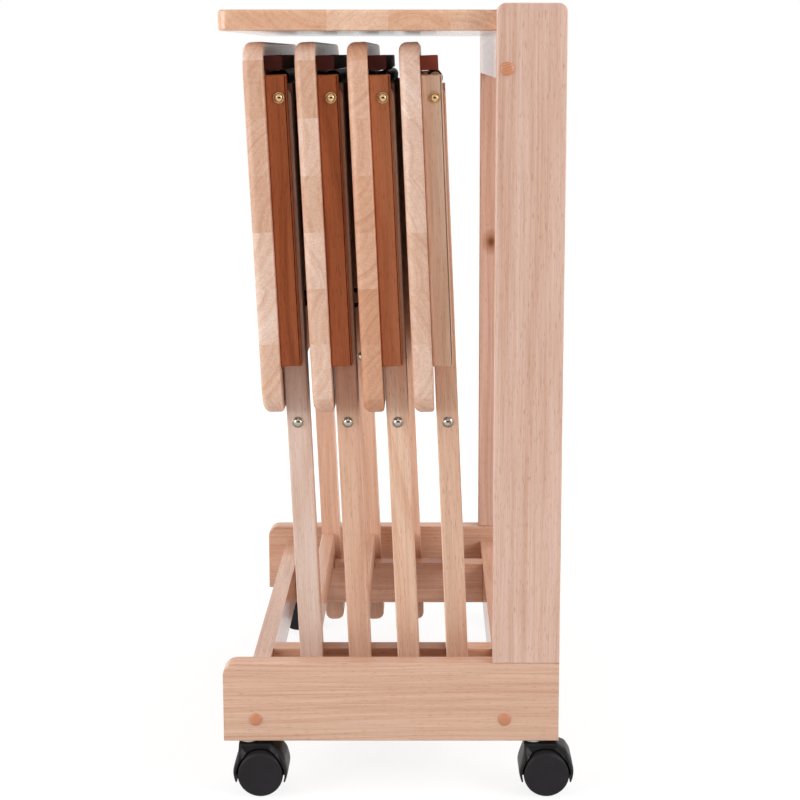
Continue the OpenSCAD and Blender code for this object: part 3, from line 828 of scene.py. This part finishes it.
@dataclass
class Rack:
    """The rolling frame: foot rails, uprights, stretchers, notched bearer bars, shelf and caps."""

    body: str = "rack"
    edge: float = 1.6
    foot_corner: float = 14.0
    upright_corner: float = 9.0
    shelf_corner: float = 12.0
    shelf_edge: float = 3.0
    notch_fit: float = 0.5
    cap_radius: float = 6.8
    cap_height: float = 2.2
    cap_bead: float = 0.3

    def along_y(self, x: float, z: float, h: float) -> Point3:
        """Places an X-Z outline with its height along Y."""
        return (x, h, z)

    def board(self, node: str, corners: Callable[[Point3, Point3], list[Point2]],
              wood: Material) -> None:
        """Builds a board whose outline lies in the X-Z plane.

        Args:
            node: the solid that it stands for.
            corners: makes the outline from the solid's box.
            wood: its finish.
        """
        low, high = node_box(node)
        solid = Solid()
        solid.plate(corners(low, high), low[1], high[1], self.edge, self.edge, self.along_y)
        solid.bake(node + "_board", wood, self.body, node)

    def foot_outline(self, low: Point3, high: Point3) -> list[Point2]:
        """Outline of a foot rail, round at its front top corner."""
        return rounded([(low[0], low[2], 0), (high[0], low[2], 0), (high[0], high[2], 0),
                        (low[0], high[2], self.foot_corner)], 10)

    def upright_outline(self, low: Point3, high: Point3) -> list[Point2]:
        """Outline of an upright, round at both top corners."""
        return rounded([(low[0], low[2], 0), (high[0], low[2], 0),
                        (high[0], high[2], self.upright_corner),
                        (low[0], high[2], self.upright_corner)], 8)

    def bar_outline(self, low: Point3, high: Point3) -> list[Point2]:
        """Outline of a plain bar."""
        return [(low[0], low[2]), (high[0], low[2]), (high[0], high[2]), (low[0], high[2])]

    def bearer(self, node: str, tables: Sequence["TrayTable"], wood: Material) -> None:
        """Builds a bearer bar with a slanted notch for each table's lower stretcher.

        Args:
            node: the solid that it stands for.
            tables: the tables that stand in the notches.
            wood: its finish.
        """
        low, high = node_box(node)
        outline = [(low[0], low[2]), (high[0], low[2]), (high[0], high[2])]
        for table in reversed(tables):
            floor = -table.stretcher_down - 0.3
            left, right = table.stretcher_front - self.notch_fit, (
                table.stretcher_front + table.stretcher_thick + self.notch_fit)
            for x, z in ((right, None), (right, floor), (left, floor), (left, None)):
                px, _, pz = table.place(x, 0, floor if z is None else z)
                if z is None:
                    rise = high[2] - pz
                    px, pz = px - rise * math.tan(table.lean), high[2]
                outline.append((px, pz))
        outline.append((low[0], high[2]))
        solid = Solid()
        solid.plate(outline, low[1], high[1], 0.8, 0.8, self.along_y, 2)
        solid.bake(node + "_board", wood, self.body, node)

    def shelf(self, wood: Material) -> None:
        """Builds the shelf, with round front corners and softened edges."""
        low, high = node_box("top_shelf")
        outline = rounded([(low[0], low[1], self.shelf_corner), (high[0], low[1], 0),
                           (high[0], high[1], 0), (low[0], high[1], self.shelf_corner)], 10)
        solid = Solid()
        solid.plate(outline, low[2], high[2], self.shelf_edge, self.shelf_edge,
                    lambda x, y, h: (x, y, h), 4)
        solid.bake("shelf_board", wood, self.body, "top_shelf")

    def caps(self, tree: bpy.types.NodeTree, finish: Material) -> None:
        """Sets the wooden caps over the frame screws.

        Args:
            tree: the tree that sets heads on points.
            finish: the caps' wood.
        """
        outer = node_box("left_foot_rail")[1][1]
        spots = []
        for bar, share in (("front_stretcher", 0.22), ("back_stretcher", 0.22), ("top_rail", 0.2)):
            low, high = node_box(bar)
            x, z = (low[0] + high[0]) / 2, low[2] + (high[2] - low[2]) * share
            spots += [((x, side.value * outer, z), side) for side in Side]
        heads = DomedHeads("screw_cap_domes", self.cap_radius, self.cap_height,
                           self.cap_radius - self.cap_bead, self.cap_bead, finish)
        heads.build(tree, spots, self.body, "cap_wood", "screw_caps")

    def build(self, woods: "Woods", tables: Sequence["TrayTable"], tree: bpy.types.NodeTree,
              cap_finish: Material, zinc: Material) -> None:
        """Builds every piece of the rack.

        Args:
            woods: the rubberwood finishes.
            tables: the tables in the rack.
            tree: the tree that sets heads on points.
            cap_finish: finish of the caps and dowels.
            zinc: finish of the screws and sockets.
        """
        for name in ("right", "left"):
            rail, upright, bearer = name + "_foot_rail", name + "_upright", name + "_bearer_bar"
            knot = (0.114, 0.256, 0.53) if name == "left" else None
            self.board(rail, self.foot_outline, woods.get(rail, Grain.LENGTHWISE, Tone.RAIL))
            self.board(upright, self.upright_outline, woods.get(upright, Grain.UPRIGHT, knot=knot))
            self.bearer(bearer, tables, woods.get(bearer, Grain.LENGTHWISE, Tone.WARM))
        for name in ("front_stretcher", "back_stretcher", "top_rail"):
            self.board(name, self.bar_outline, woods.get(name, Grain.ACROSS, Tone.WARM, film=0.75))
        self.shelf(woods.get("top_shelf", Grain.ACROSS, Tone.BRIGHT, strip_mm=62, film=0.9,
                             rubbed=True))
        self.caps(tree, cap_finish)
        repaint("frame_dowels", cap_finish)
        repaint("frame_screws", zinc)
        repaint("caster_sockets", zinc)


def repaint(node: str, material: Material) -> None:
    """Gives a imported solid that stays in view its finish."""
    obj = frame["nodes"][node]
    obj.data.materials.clear()
    obj.data.materials.append(material)


# ---------------------------------------------------------------- the tables


@dataclass
class TrayTable:
    """A folded tray table: tray, side cleats, keeper bar, two pairs of legs, stretcher and tube."""

    number: int
    leg_half: float = 11.7
    leg_thick: float = 17.0
    leg_up: float = 340.5
    leg_down: float = 353.5
    inner_top: float = 14.0
    foot_round: float = 9.0
    edge: float = 1.5
    tray_off: float = 13.4
    tray_thick: float = 21.0
    tray_half: float = 250.0
    tray_top: float = 397.5
    tray_depth: float = 385.0
    tray_corner: float = 30.0
    tray_edge: float = 8.0
    tray_under: float = 3.0
    cleat_out: float = 235.0
    cleat_thick: float = 14.0
    cleat_high: float = 22.0
    cleat_up: float = 23.5
    cleat_down: float = 278.0
    play: float = 1.0
    stretcher_front: float = -11.7
    stretcher_thick: float = 16.0
    stretcher_high: float = 36.0
    stretcher_down: float = 272.5
    tube_radius: float = 8.0
    tube_wall: float = 1.5
    tube_x: float = 1.6
    tube_up: float = 19.5
    keeper_thick: float = 18.6
    keeper_high: float = 15.0
    catch_down: float = 255.0
    catch_half_span: float = 120.0
    catch_wide: float = 22.0
    catch_wall: float = 2.4
    catch_foot: float = 3.2
    soft_corner: float = 1.2
    head_radius: float = 5.0
    head_high: float = 3.6
    head_foot: float = 6.0

    def __post_init__(self) -> None:
        """Reads the table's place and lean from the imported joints."""
        joints = {j["name"]: j for j in frame["joints"]}
        axis = joints[f"table_{self.number}_lift"]["axis"]
        self.lean = math.atan2(-axis[0], axis[2])
        self.origin = [c / MM for c in joints[f"table_{self.number}_legs"]["pos_m"]]

    def place(self, x: float, y: float, z: float) -> Point3:
        """Turns a point of the table's own frame into the row frame, in millimetres."""
        c, s = math.cos(self.lean), math.sin(self.lean)
        return (self.origin[0] + x * c - z * s, y, self.origin[2] + x * s + z * c)

    def body(self, part: str) -> str:
        """Name of one of the table's bodies."""
        return f"table_{self.number}_{part}"

    def across(self, x: float, z: float, y: float) -> Point3:
        """Places an outline of the table's side with its height along Y."""
        return self.place(x, y, z)

    @property
    def outer_leg_out(self) -> float:
        """Distance of the outer legs' outer face from the middle."""
        return self.cleat_out - self.cleat_thick - self.play

    @property
    def inner_leg_out(self) -> float:
        """Distance of the inner legs' outer face from the middle."""
        return self.outer_leg_out - self.leg_thick - self.play

    def pair(self, name: str, outline: Sequence[Point2], out: float, thick: float, body: str,
             wood: Material, node: str, edge: float) -> None:
        """Builds a mirrored pair of boards.

        Args:
            name: the piece's name.
            outline: the boards' side outline, counter-clockwise.
            out: distance of their outer faces from the middle.
            thick: their thickness.
            body: the body they move with.
            wood: their finish.
            node: the solid that they stand for.
            edge: radius of their edges.
        """
        solid = Solid()
        for side in Side:
            low, high = sorted((side.value * out, side.value * (out - thick)))
            solid.plate(outline, low, high, edge, edge, self.across)
        solid.bake(name, wood, self.body(body), node)

    def tray(self, wood: Material) -> None:
        """Builds the tray: a board with round corners and a rolled edge round its top face."""
        middle = self.tray_top - self.tray_depth / 2
        w, d, r = self.tray_half, self.tray_depth / 2, self.tray_corner
        outline = rounded([(-w, -d, r), (w, -d, r), (w, d, r), (-w, d, r)], 12)
        solid = Solid()
        solid.plate(outline, 0, self.tray_thick, self.tray_under, self.tray_edge,
                    lambda a, b, h: self.place(-self.tray_off - h, a, middle + b), 6)
        solid.bake(f"tray_{self.number}", wood, self.body("tray"),
                   f"tray_top_{self.number}")

    def cleats(self, wood: Material) -> None:
        """Builds the two cleats that carry the tray's pivots."""
        x0, x1 = -self.tray_off, self.cleat_high - self.tray_off
        z0, z1 = self.leg_up - self.cleat_down, self.leg_up + self.cleat_up
        outline = rounded([(x0, z0, 0), (x1, z0, self.soft_corner), (x1, z1, self.soft_corner),
                           (x0, z1, 0)], 3)
        self.pair(f"cleats_{self.number}", outline, self.cleat_out, self.cleat_thick, "tray", wood,
                  f"side_cleats_{self.number}", 2.2)

    def foot(self) -> list[Point2]:
        """The rounded foot end, from the front edge to the back edge."""
        h, r = self.leg_half, self.foot_round
        return (arc((-h + r, r - self.leg_down), r, 180, 270, 8)
                + arc((h - r, r - self.leg_down), r, 270, 360, 8))

    def legs(self, outer_wood: Material, inner_wood: Material) -> None:
        """Builds the outer legs with round tops and the inner legs hollowed for the tube.

        Args:
            outer_wood: finish of the outer legs.
            inner_wood: finish of the inner legs.
        """
        h = self.leg_half
        self.pair(f"outer_legs_{self.number}_wood", self.foot() + arc((0, self.leg_up), h, 0, 180, 18),
                  self.outer_leg_out, self.leg_thick, "outer_frame", outer_wood,
                  f"outer_legs_{self.number}", self.edge)
        top = self.leg_up + self.inner_top
        seat = (self.tube_x, self.leg_up + self.tube_up)
        drop = math.degrees(math.asin((seat[1] - top) / self.tube_radius))
        saddle = arc(seat, self.tube_radius + 0.05, -drop, drop - 180, 8)
        self.pair(f"inner_legs_{self.number}_wood", self.foot() + [(h, top)] + saddle + [(-h, top)],
                  self.inner_leg_out, self.leg_thick, "inner_frame", inner_wood,
                  f"inner_legs_{self.number}", 0.7)

    def lower_bar(self, wood: Material) -> None:
        """Builds the stretcher that rests in the bearer bars."""
        x0, x1 = self.stretcher_front, self.stretcher_front + self.stretcher_thick
        z0, z1 = -self.stretcher_down, self.stretcher_high - self.stretcher_down
        reach = self.inner_leg_out - self.leg_thick
        solid = Solid()
        solid.plate(rounded([(x0, z0, 1.5), (x1, z0, 1.5), (x1, z1, 1.5), (x0, z1, 1.5)], 3),
                    -reach, reach, 0.2, 0.2, self.across, 1)
        solid.bake(f"stretcher_{self.number}", wood, self.body("inner_frame"),
                   f"lower_stretcher_{self.number}")

    def tube(self, enamel: Material) -> None:
        """Builds the enamelled crossbar tube with rolled lips."""
        r, t, reach = self.tube_radius, self.tube_wall, self.inner_leg_out
        lip = t / 2
        profile = (arc((r - lip, reach - lip), lip, 0, 180, 6)
                   + arc((r - lip, lip - reach), lip, 180, 360, 6))
        solid = Solid()
        solid.turned(profile, lambda a, b, h: self.place(
            self.tube_x + a, h, self.leg_up + self.tube_up + b), 48)
        solid.bake(f"crossbar_tube_{self.number}", enamel, self.body("inner_frame"),
                   f"crossbar_{self.number}")

    def keeper(self, plastic: Material) -> None:
        """Builds the keeper bar and the two spring catches under the tray."""
        x0 = -self.tray_off
        low = self.leg_up + math.hypot(self.tube_x, self.tube_up) + self.tube_radius + 0.4
        x1, high = x0 + self.keeper_thick, low + self.keeper_high
        solid = Solid()
        solid.plate(rounded([(x0, low, 0), (x1, low, self.soft_corner),
                             (x1, high, self.soft_corner), (x0, high, 0)], 3),
                    -self.cleat_out, self.cleat_out, 0.8, 0.8, self.across, 2)
        bore = self.tube_radius + 0.2
        wall = bore + self.catch_wall
        x2, cx, cz = x0 + self.catch_foot, x0 + wall, self.leg_up - self.catch_down
        lip = 0.45 * bore
        outer, inner = (math.degrees(math.acos(lip / r)) for r in (wall, bore))
        ring = (arc((cx, cz), wall, outer, 360 - outer, 28)
                + arc((cx, cz), bore, 360 - inner, inner, 24))
        foot = [(x0, cz - bore), (x2, cz - bore), (x2, cz + bore), (x0, cz + bore)]
        for y in (-self.catch_half_span, self.catch_half_span):
            for outline in (ring, foot):
                solid.plate(outline, y - self.catch_wide / 2, y + self.catch_wide / 2, 0.5, 0.5,
                            self.across, 2)
        solid.bake(f"keeper_{self.number}", plastic, self.body("tray"),
                   f"tray_catches_{self.number}")

    def rivets(self, tree: bpy.types.NodeTree, nickel: Material,
               brass: Material) -> None:
        """Sets the domed heads of the tray pivots and the middle pivots.

        Args:
            tree: the tree that sets heads on points.
            nickel: finish of the middle pivots.
            brass: finish of the tray pivots.
        """
        for name, out, height, wire, finish in (("tray", self.cleat_out, self.leg_up, 0.85, brass),
                                                ("middle", self.outer_leg_out, 0, 0.4, nickel)):
            spots = [(self.place(0, side.value * out, height), side) for side in Side]
            heads = DomedHeads(f"{name}_pivot_heads_{self.number}", self.head_radius,
                               self.head_high, self.head_foot - wire, wire, finish)
            heads.build(tree, spots, self.body("outer_frame"), "bolt_metal")
        inside = self.inner_leg_out - self.leg_thick
        spots = [(self.place(0, side.value * inside, 0), Side(-side.value)) for side in Side]
        nuts = DomedHeads(f"cap_nuts_{self.number}", 5.2, 4.6, 5.3, 0.6, nickel)
        nuts.build(tree, spots, self.body("outer_frame"), "bolt_metal")
        repaint(f"pivot_bolts_{self.number}", nickel)

    def build(self, woods: "Woods", tree: bpy.types.NodeTree, enamel: Material,
              plastic: Material, nickel: Material,
              brass: Material) -> None:
        """Builds every piece of the table.

        Args:
            woods: the rubberwood finishes.
            tree: the tree that sets heads on points.
            enamel: finish of the tube.
            plastic: finish of the keeper bar.
            nickel: finish of the middle pivots.
            brass: finish of the tray pivots.
        """
        own = {name: f"{name}_{self.number}" for name in (
            "tray_top", "side_cleats", "outer_legs", "inner_legs", "lower_stretcher")}
        self.tray(woods.get(own["tray_top"], Grain.ACROSS_STANDING, Tone.of_tray(self.number),
                            strip_mm=58, lean=self.lean, film=0.3))
        # The cleats' tone is painted shade on the front tables and painted light on the last table.
        self.cleats(woods.get(own["side_cleats"], Grain.UPRIGHT, Tone.of_cleats(self.number),
                              lean=self.lean, film=0.15))
        self.legs(woods.get(own["outer_legs"], Grain.UPRIGHT, Tone.of_legs(self.number),
                            lean=self.lean, film=0.2),
                  woods.get(own["inner_legs"], Grain.UPRIGHT, Tone.RAIL, lean=self.lean, film=0.2))
        self.lower_bar(woods.get(own["lower_stretcher"], Grain.ACROSS, Tone.RAIL))
        self.tube(enamel)
        self.keeper(plastic)
        self.rivets(tree, nickel, brass)


# ---------------------------------------------------------------- the casters


@dataclass
class Caster:
    """A twin-wheel caster: a moulded hood that arches over two wheels and trails its stem."""

    number: int
    place_name: str
    wheel_radius: float = 24.0
    wheel_wide: float = 18.0
    wheel_edge: float = 3.0
    wheel_back_edge: float = 1.2
    wheel_dish: float = 0.7
    web_half: float = 5.0
    hood_radius: float = 29.2
    bore_radius: float = 25.6
    hood_top: float = 54.9
    trail: float = 13.0
    axle_radius: float = 4.0
    wheel_gap: float = 0.5
    wheel_proud: float = 0.6
    neck_from: float = 13.0
    neck_narrowing: float = 0.42
    skin: float = 1.0

    def __post_init__(self) -> None:
        """Reads the wheel axle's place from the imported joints."""
        joints = {j["name"]: j for j in frame["joints"]}
        self.axle = [c / MM for c in joints[f"{self.place_name}_outer_wheel_spin"]["pos_m"]]
        self.half = self.web_half + self.wheel_gap + self.wheel_wide - self.wheel_proud

    def outline(self) -> list[Point2]:
        """The stem block's side outline round the axle, counter-clockwise."""
        r, top = self.hood_radius, self.hood_top - self.wheel_radius
        return [(r, 0), (r * 0.985, r * 0.2), (r * 0.9, r * 0.56), (r * 0.72, r * 0.88),
                (r * 0.38, top), (-r * 0.8, top), (-r * 0.81, r * 0.8), (-r * 0.87, r * 0.58),
                (-r * 0.98, r * 0.2), (-r, 0)]

    def reach(self, angle: float) -> float:
        """Distance from the axle to the hood's outline in one direction.

        Args:
            angle: direction in radians, counter-clockwise from +X.

        Returns:
            The distance in millimetres.
        """
        way, best = Vector((math.cos(angle), math.sin(angle))), self.hood_radius
        points = self.outline()
        for (ax, ay), (bx, by) in zip(points, points[1:]):
            edge = Vector((bx - ax, by - ay))
            cross = way.x * edge.y - way.y * edge.x
            if abs(cross) < 1e-9:
                continue
            t = (ax * edge.y - ay * edge.x) / cross
            u = (ax * way.y - ay * way.x) / cross
            if t > 0 and -1e-6 <= u <= 1 + 1e-6:
                best = max(best, t)
        return best

    def half_width(self, height: float) -> float:
        """Half width of the hood at a height above the axle, narrower towards the stem."""
        top = self.hood_top - self.wheel_radius
        share = min(1.0, max(0.0, (height - self.neck_from) / (top - self.neck_from)))
        return self.half * (1 - self.neck_narrowing * share * share)

    def hood(self, plastic: Material) -> None:
        """Builds the hood, its web and its stem."""
        across = [-1, -0.97, -0.9, -0.78, -0.6, -0.3, 0, 0.3, 0.6, 0.78, 0.9, 0.97, 1]
        low = math.asin(-0.35 * self.wheel_radius / self.hood_radius)
        steps = 56
        rings: list[list[Point3]] = []
        for k in range(steps + 1):
            a = low + (math.pi - 2 * low) * k / steps
            reach = self.reach(a)
            taper = min(1.0, 6.0 * min(k, steps - k) / steps + 0.35)
            half, least = self.half_width(reach * math.sin(a)), self.bore_radius + self.skin
            section = [(t, least + (reach - least) * (1 - abs(t) ** 6) ** (1 / 3) * taper)
                       for t in across]
            section += [(t, self.bore_radius) for t in reversed(across)]
            rings.append([self.at(r * math.cos(a), t * half, r * math.sin(a)) for t, r in section])
        solid = Solid()
        solid.ring_stack(rings)
        web = arc((0, 0), self.bore_radius + 0.6, math.degrees(low), 180 - math.degrees(low), 40)
        solid.plate(web, -self.web_half, self.web_half, 0.4, 0.4,
                    lambda x, z, y: self.at(x, y, z), 1)
        stem = [(0.01, -6), (self.axle_radius, -6), (self.axle_radius, 18), (0.01, 18)]
        solid.turned(stem, lambda x, y, h: self.at(x - self.trail, y,
                                                   self.hood_top - self.wheel_radius + h), 32)
        solid.bake(f"caster_hood_{self.number}", plastic, f"{self.place_name}_caster",
                   f"caster_fork_{self.number}")

    def at(self, x: float, y: float, z: float) -> Point3:
        """Places a point given round the axle."""
        return (self.axle[0] + x, self.axle[1] + y, self.axle[2] + z)

    def wheel(self, which: str, side: Side, plastic: Material) -> None:
        """Builds a wheel: a dished disc with a rounded tread.

        Args:
            which: outer or inner.
            side: the side of the web that it turns on.
            plastic: its finish.
        """
        r, w, e = self.wheel_radius, self.wheel_wide, self.wheel_edge
        bore, back, dish = self.axle_radius + 0.1, self.wheel_back_edge, self.wheel_dish
        profile = [(bore, 0.0)] + arc((r - back, back), back, -90, 0, 4) + arc((r - e, w - e), e, 0, 90, 6)
        profile += [(r * 0.80, w - 0.15), (r * 0.70, w - 0.5), (r * 0.35, w - dish),
                    (r * 0.1, w - dish), (0.01, w - dish), (0.01, w - 3.5), (bore, w - 3.6)]
        start = self.web_half + self.wheel_gap
        solid = Solid()
        solid.turned(profile, lambda x, z, h: self.at(x, side.value * (start + h), z), 72)
        solid.bake(f"{which}_wheel_disc_{self.number}", plastic, f"{self.place_name}_{which}_wheel",
                   f"{which}_wheel_{self.number}")

    def build(self, hood: Material, disc: Material) -> None:
        """Builds the hood and both wheels.

        Args:
            hood: finish of the hood.
            disc: finish of the wheels.
        """
        self.hood(hood)
        near = Side.RIGHT if self.number < 3 else Side.LEFT
        self.wheel("outer", near, disc)
        self.wheel("inner", Side(-near.value), disc)


# ---------------------------------------------------------------- studio


@dataclass
class Studio:
    """Pale floor, white surroundings, soft lamps and the camera."""

    eye: Point3 = (0.0309, -2.006, 0.7727)
    pitch_deg: float = 9.65
    lens: float = 77.6
    shift: Point2 = (-0.035, -0.065)
    ambient: float = 0.26
    aim: Point3 = (0.0, 0.0, 0.42)

    def camera(self) -> None:
        """Makes the camera, level with the tray tops and tipped down to the middle of the rack."""
        data = bpy.data.cameras.new("camera")
        data.lens, data.sensor_width = self.lens, 36.0
        data.shift_x, data.shift_y = self.shift
        data.clip_start, data.clip_end = 0.05, 50.0
        cam = bpy.data.objects.new("camera", data)
        cam.location = self.eye
        cam.rotation_euler = (math.radians(90 - self.pitch_deg), 0, 0)
        bpy.context.collection.objects.link(cam)
        bpy.context.scene.camera = cam

    def seen(self, net: Net) -> Socket:
        """Is 1 for camera, mirror and glass rays, and 0 for rays that light the object."""
        path = net.add("ShaderNodeLightPath").outputs
        seen = net.maths("MAXIMUM", path["Is Camera Ray"], path["Is Glossy Ray"])
        return net.maths("MAXIMUM", seen, path["Is Transmission Ray"])

    def world(self) -> None:
        """Fills the room with even light and shows white behind the object."""
        world = bpy.data.worlds.new("white_room")
        bpy.context.scene.world = world
        world.use_nodes = True
        net = Net(world.node_tree)
        net.tree.nodes.clear()
        light = net.add("ShaderNodeBackground", inputs={
            "Color": (1, 1, 1, 1), "Strength": net.span(self.seen(net), self.ambient, 1.0)})
        net.add("ShaderNodeOutputWorld", inputs={"Surface": light.outputs["Background"]})

    def card(self, name: str, corners: Sequence[Point3], paint: str,
             surface: Callable[[Net], Socket]) -> bpy.types.Object:
        """Sets up a flat card that isn't part of the object.

        Args:
            name: the card's name.
            corners: its four corners, in metres.
            paint: its material's name.
            surface: adds the nodes of its surface and gives their shader.

        Returns:
            The card.
        """
        mesh = bpy.data.meshes.new(name)
        mesh.from_pydata(corners, [], [(0, 1, 2, 3)])
        material, net = empty_material(paint)
        net.add("ShaderNodeOutputMaterial", inputs={"Surface": surface(net)})
        mesh.materials.append(material)
        card = bpy.data.objects.new(name, mesh)
        bpy.context.collection.objects.link(card)
        return card

    def matt(self, net: Net, grey: float) -> Socket:
        """A matt grey shader."""
        return net.add("ShaderNodeBsdfDiffuse", inputs={"Color": (grey, grey, grey, 1)}).outputs[0]

    def paper(self, net: Net) -> Socket:
        """White paper that keeps a soft shadow and fades into the white room 1.3 m away."""
        away = net.vectors("LENGTH", net.own())
        fade = net.add("ShaderNodeMapRange", {"interpolation_type": "SMOOTHSTEP"}, {
            "Value": away, "From Min": 0.5, "From Max": 1.3, "To Min": 0.84, "To Max": 1.0})
        glow = net.add("ShaderNodeEmission", inputs={
            "Color": (1, 1, 1, 1), "Strength": fade.outputs["Result"]})
        shown = net.add("ShaderNodeAddShader", inputs={0: self.matt(net, 0.2), 1: glow.outputs[0]})
        return net.add("ShaderNodeMixShader", inputs={
            0: self.seen(net), 1: self.matt(net, 0.75), 2: shown.outputs[0]}).outputs[0]

    def floor(self) -> None:
        """Lays the paper floor just under the wheels."""
        reach, drop = 8, -0.0004
        corners = [(x * reach, y * reach, drop) for x, y in ((-1, -1), (1, -1), (1, 1), (-1, 1))]
        self.card("paper_floor", corners, "white_paper", self.paper)

    def flag(self) -> None:
        """Hangs a black cloth behind the camera that only mirror rays see: metal heads get a dark
        horizon, and lacquered faces keep their colour."""
        corners = [(-1, -2.9, 0.05), (3, -2.9, 0.05), (3, -2.9, 1.5), (-1, -2.9, 1.5)]
        flag = self.card("black_flag", corners, "black_cloth", lambda net: self.matt(net, 0.02))
        flag.visible_camera = flag.visible_diffuse = False
        flag.visible_transmission = flag.visible_shadow = False

    def lamp(self, name: str, place: Point3, size: float, power: float, mirrored: bool) -> None:
        """Hangs a soft square lamp that points at the middle of the rack.

        Args:
            name: the lamp's name.
            place: where it hangs, in metres.
            size: the square's side in metres.
            power: its power in watts.
            mirrored: whether glossy faces mirror it.
        """
        data = bpy.data.lights.new(name, "AREA")
        data.size, data.energy = size, power
        lamp = bpy.data.objects.new(name, data)
        lamp.location = place
        lamp.visible_glossy = mirrored
        lamp.rotation_euler = (Vector(self.aim) - Vector(place)).to_track_quat("-Z", "Y").to_euler()
        bpy.context.collection.objects.link(lamp)

    def build(self) -> None:
        """Lights the room."""
        self.world()
        self.floor()
        self.flag()
        for name, place, size, power, mirrored in (
                ("right_softbox", (2.4, -1.25, 1.4), 1.9, 60, True),
                ("left_softbox", (-2.4, -1.25, 1.2), 1.9, 58, True),
                ("top_softbox", (0.0, 0.0, 2.9), 1.4, 14, False),
                ("back_right_softbox", (1.7, 2.1, 1.1), 1.4, 28, False),
                ("back_left_softbox", (-1.7, 2.1, 1.1), 1.4, 28, False)):
            self.lamp(name, place, size, power, mirrored)


def main() -> None:
    """Builds the finished object and its studio."""
    logging.basicConfig(level=logging.INFO, format="%(name)s: %(message)s")
    bpy.context.scene.view_settings.view_transform = "Standard"
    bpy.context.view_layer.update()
    studio = Studio()
    studio.camera()
    woods = Woods()
    tree = heads_tree()
    nickel = NickelPlatedSteel().build()
    zinc = NickelPlatedSteel("zinc_plated_steel", "#BDBBB6", "#A9A7A2", 0.3).build()
    enamel = SprayedEnamel().build()
    brass = NickelPlatedSteel("brassed_steel", "#DDBB90", "#B59468", 0.13).build()
    brown = {"rough": 0.50, "texture_mm": 1.0, "relief": 0.08, "shine": 0.1}
    # Lit and shaded copies of one brown plastic. The darker copy is painted shade for the front tables'
    # keeper bars, which sit in shade between the trays. The lighter copy is painted light for the last
    # table's keeper, which catches the light.
    keeper = MouldedPlastic("brown_plastic_painted_shade", "#3A1712", "#441C16", **brown).build()
    lit_keeper_plastic = MouldedPlastic("brown_plastic_painted_light", "#7C392B", "#864031", **brown).build()
    hood = MouldedPlastic("moulded_black_nylon", "#0E0C0D", "#161415", 0.42).build()
    disc = MouldedPlastic("moulded_grey_nylon_wheel", "#1A181A", "#201D20", 0.58).build()
    tables = [TrayTable(i) for i in range(1, 5)]
    Rack().build(woods, tables, tree, TurnedEndGrain().build(), zinc)
    for table in tables:
        # The last table's keeper gets the painted-light copy, and the others get the painted-shade copy.
        plastic = lit_keeper_plastic if table.number == len(tables) else keeper
        table.build(woods, tree, enamel, plastic, nickel, brass)
    for number, place in enumerate(("right_front", "right_back", "left_front", "left_back"), 1):
        Caster(number, place).build(hood, disc)
    studio.build()


if __name__ == "__main__":
    main()
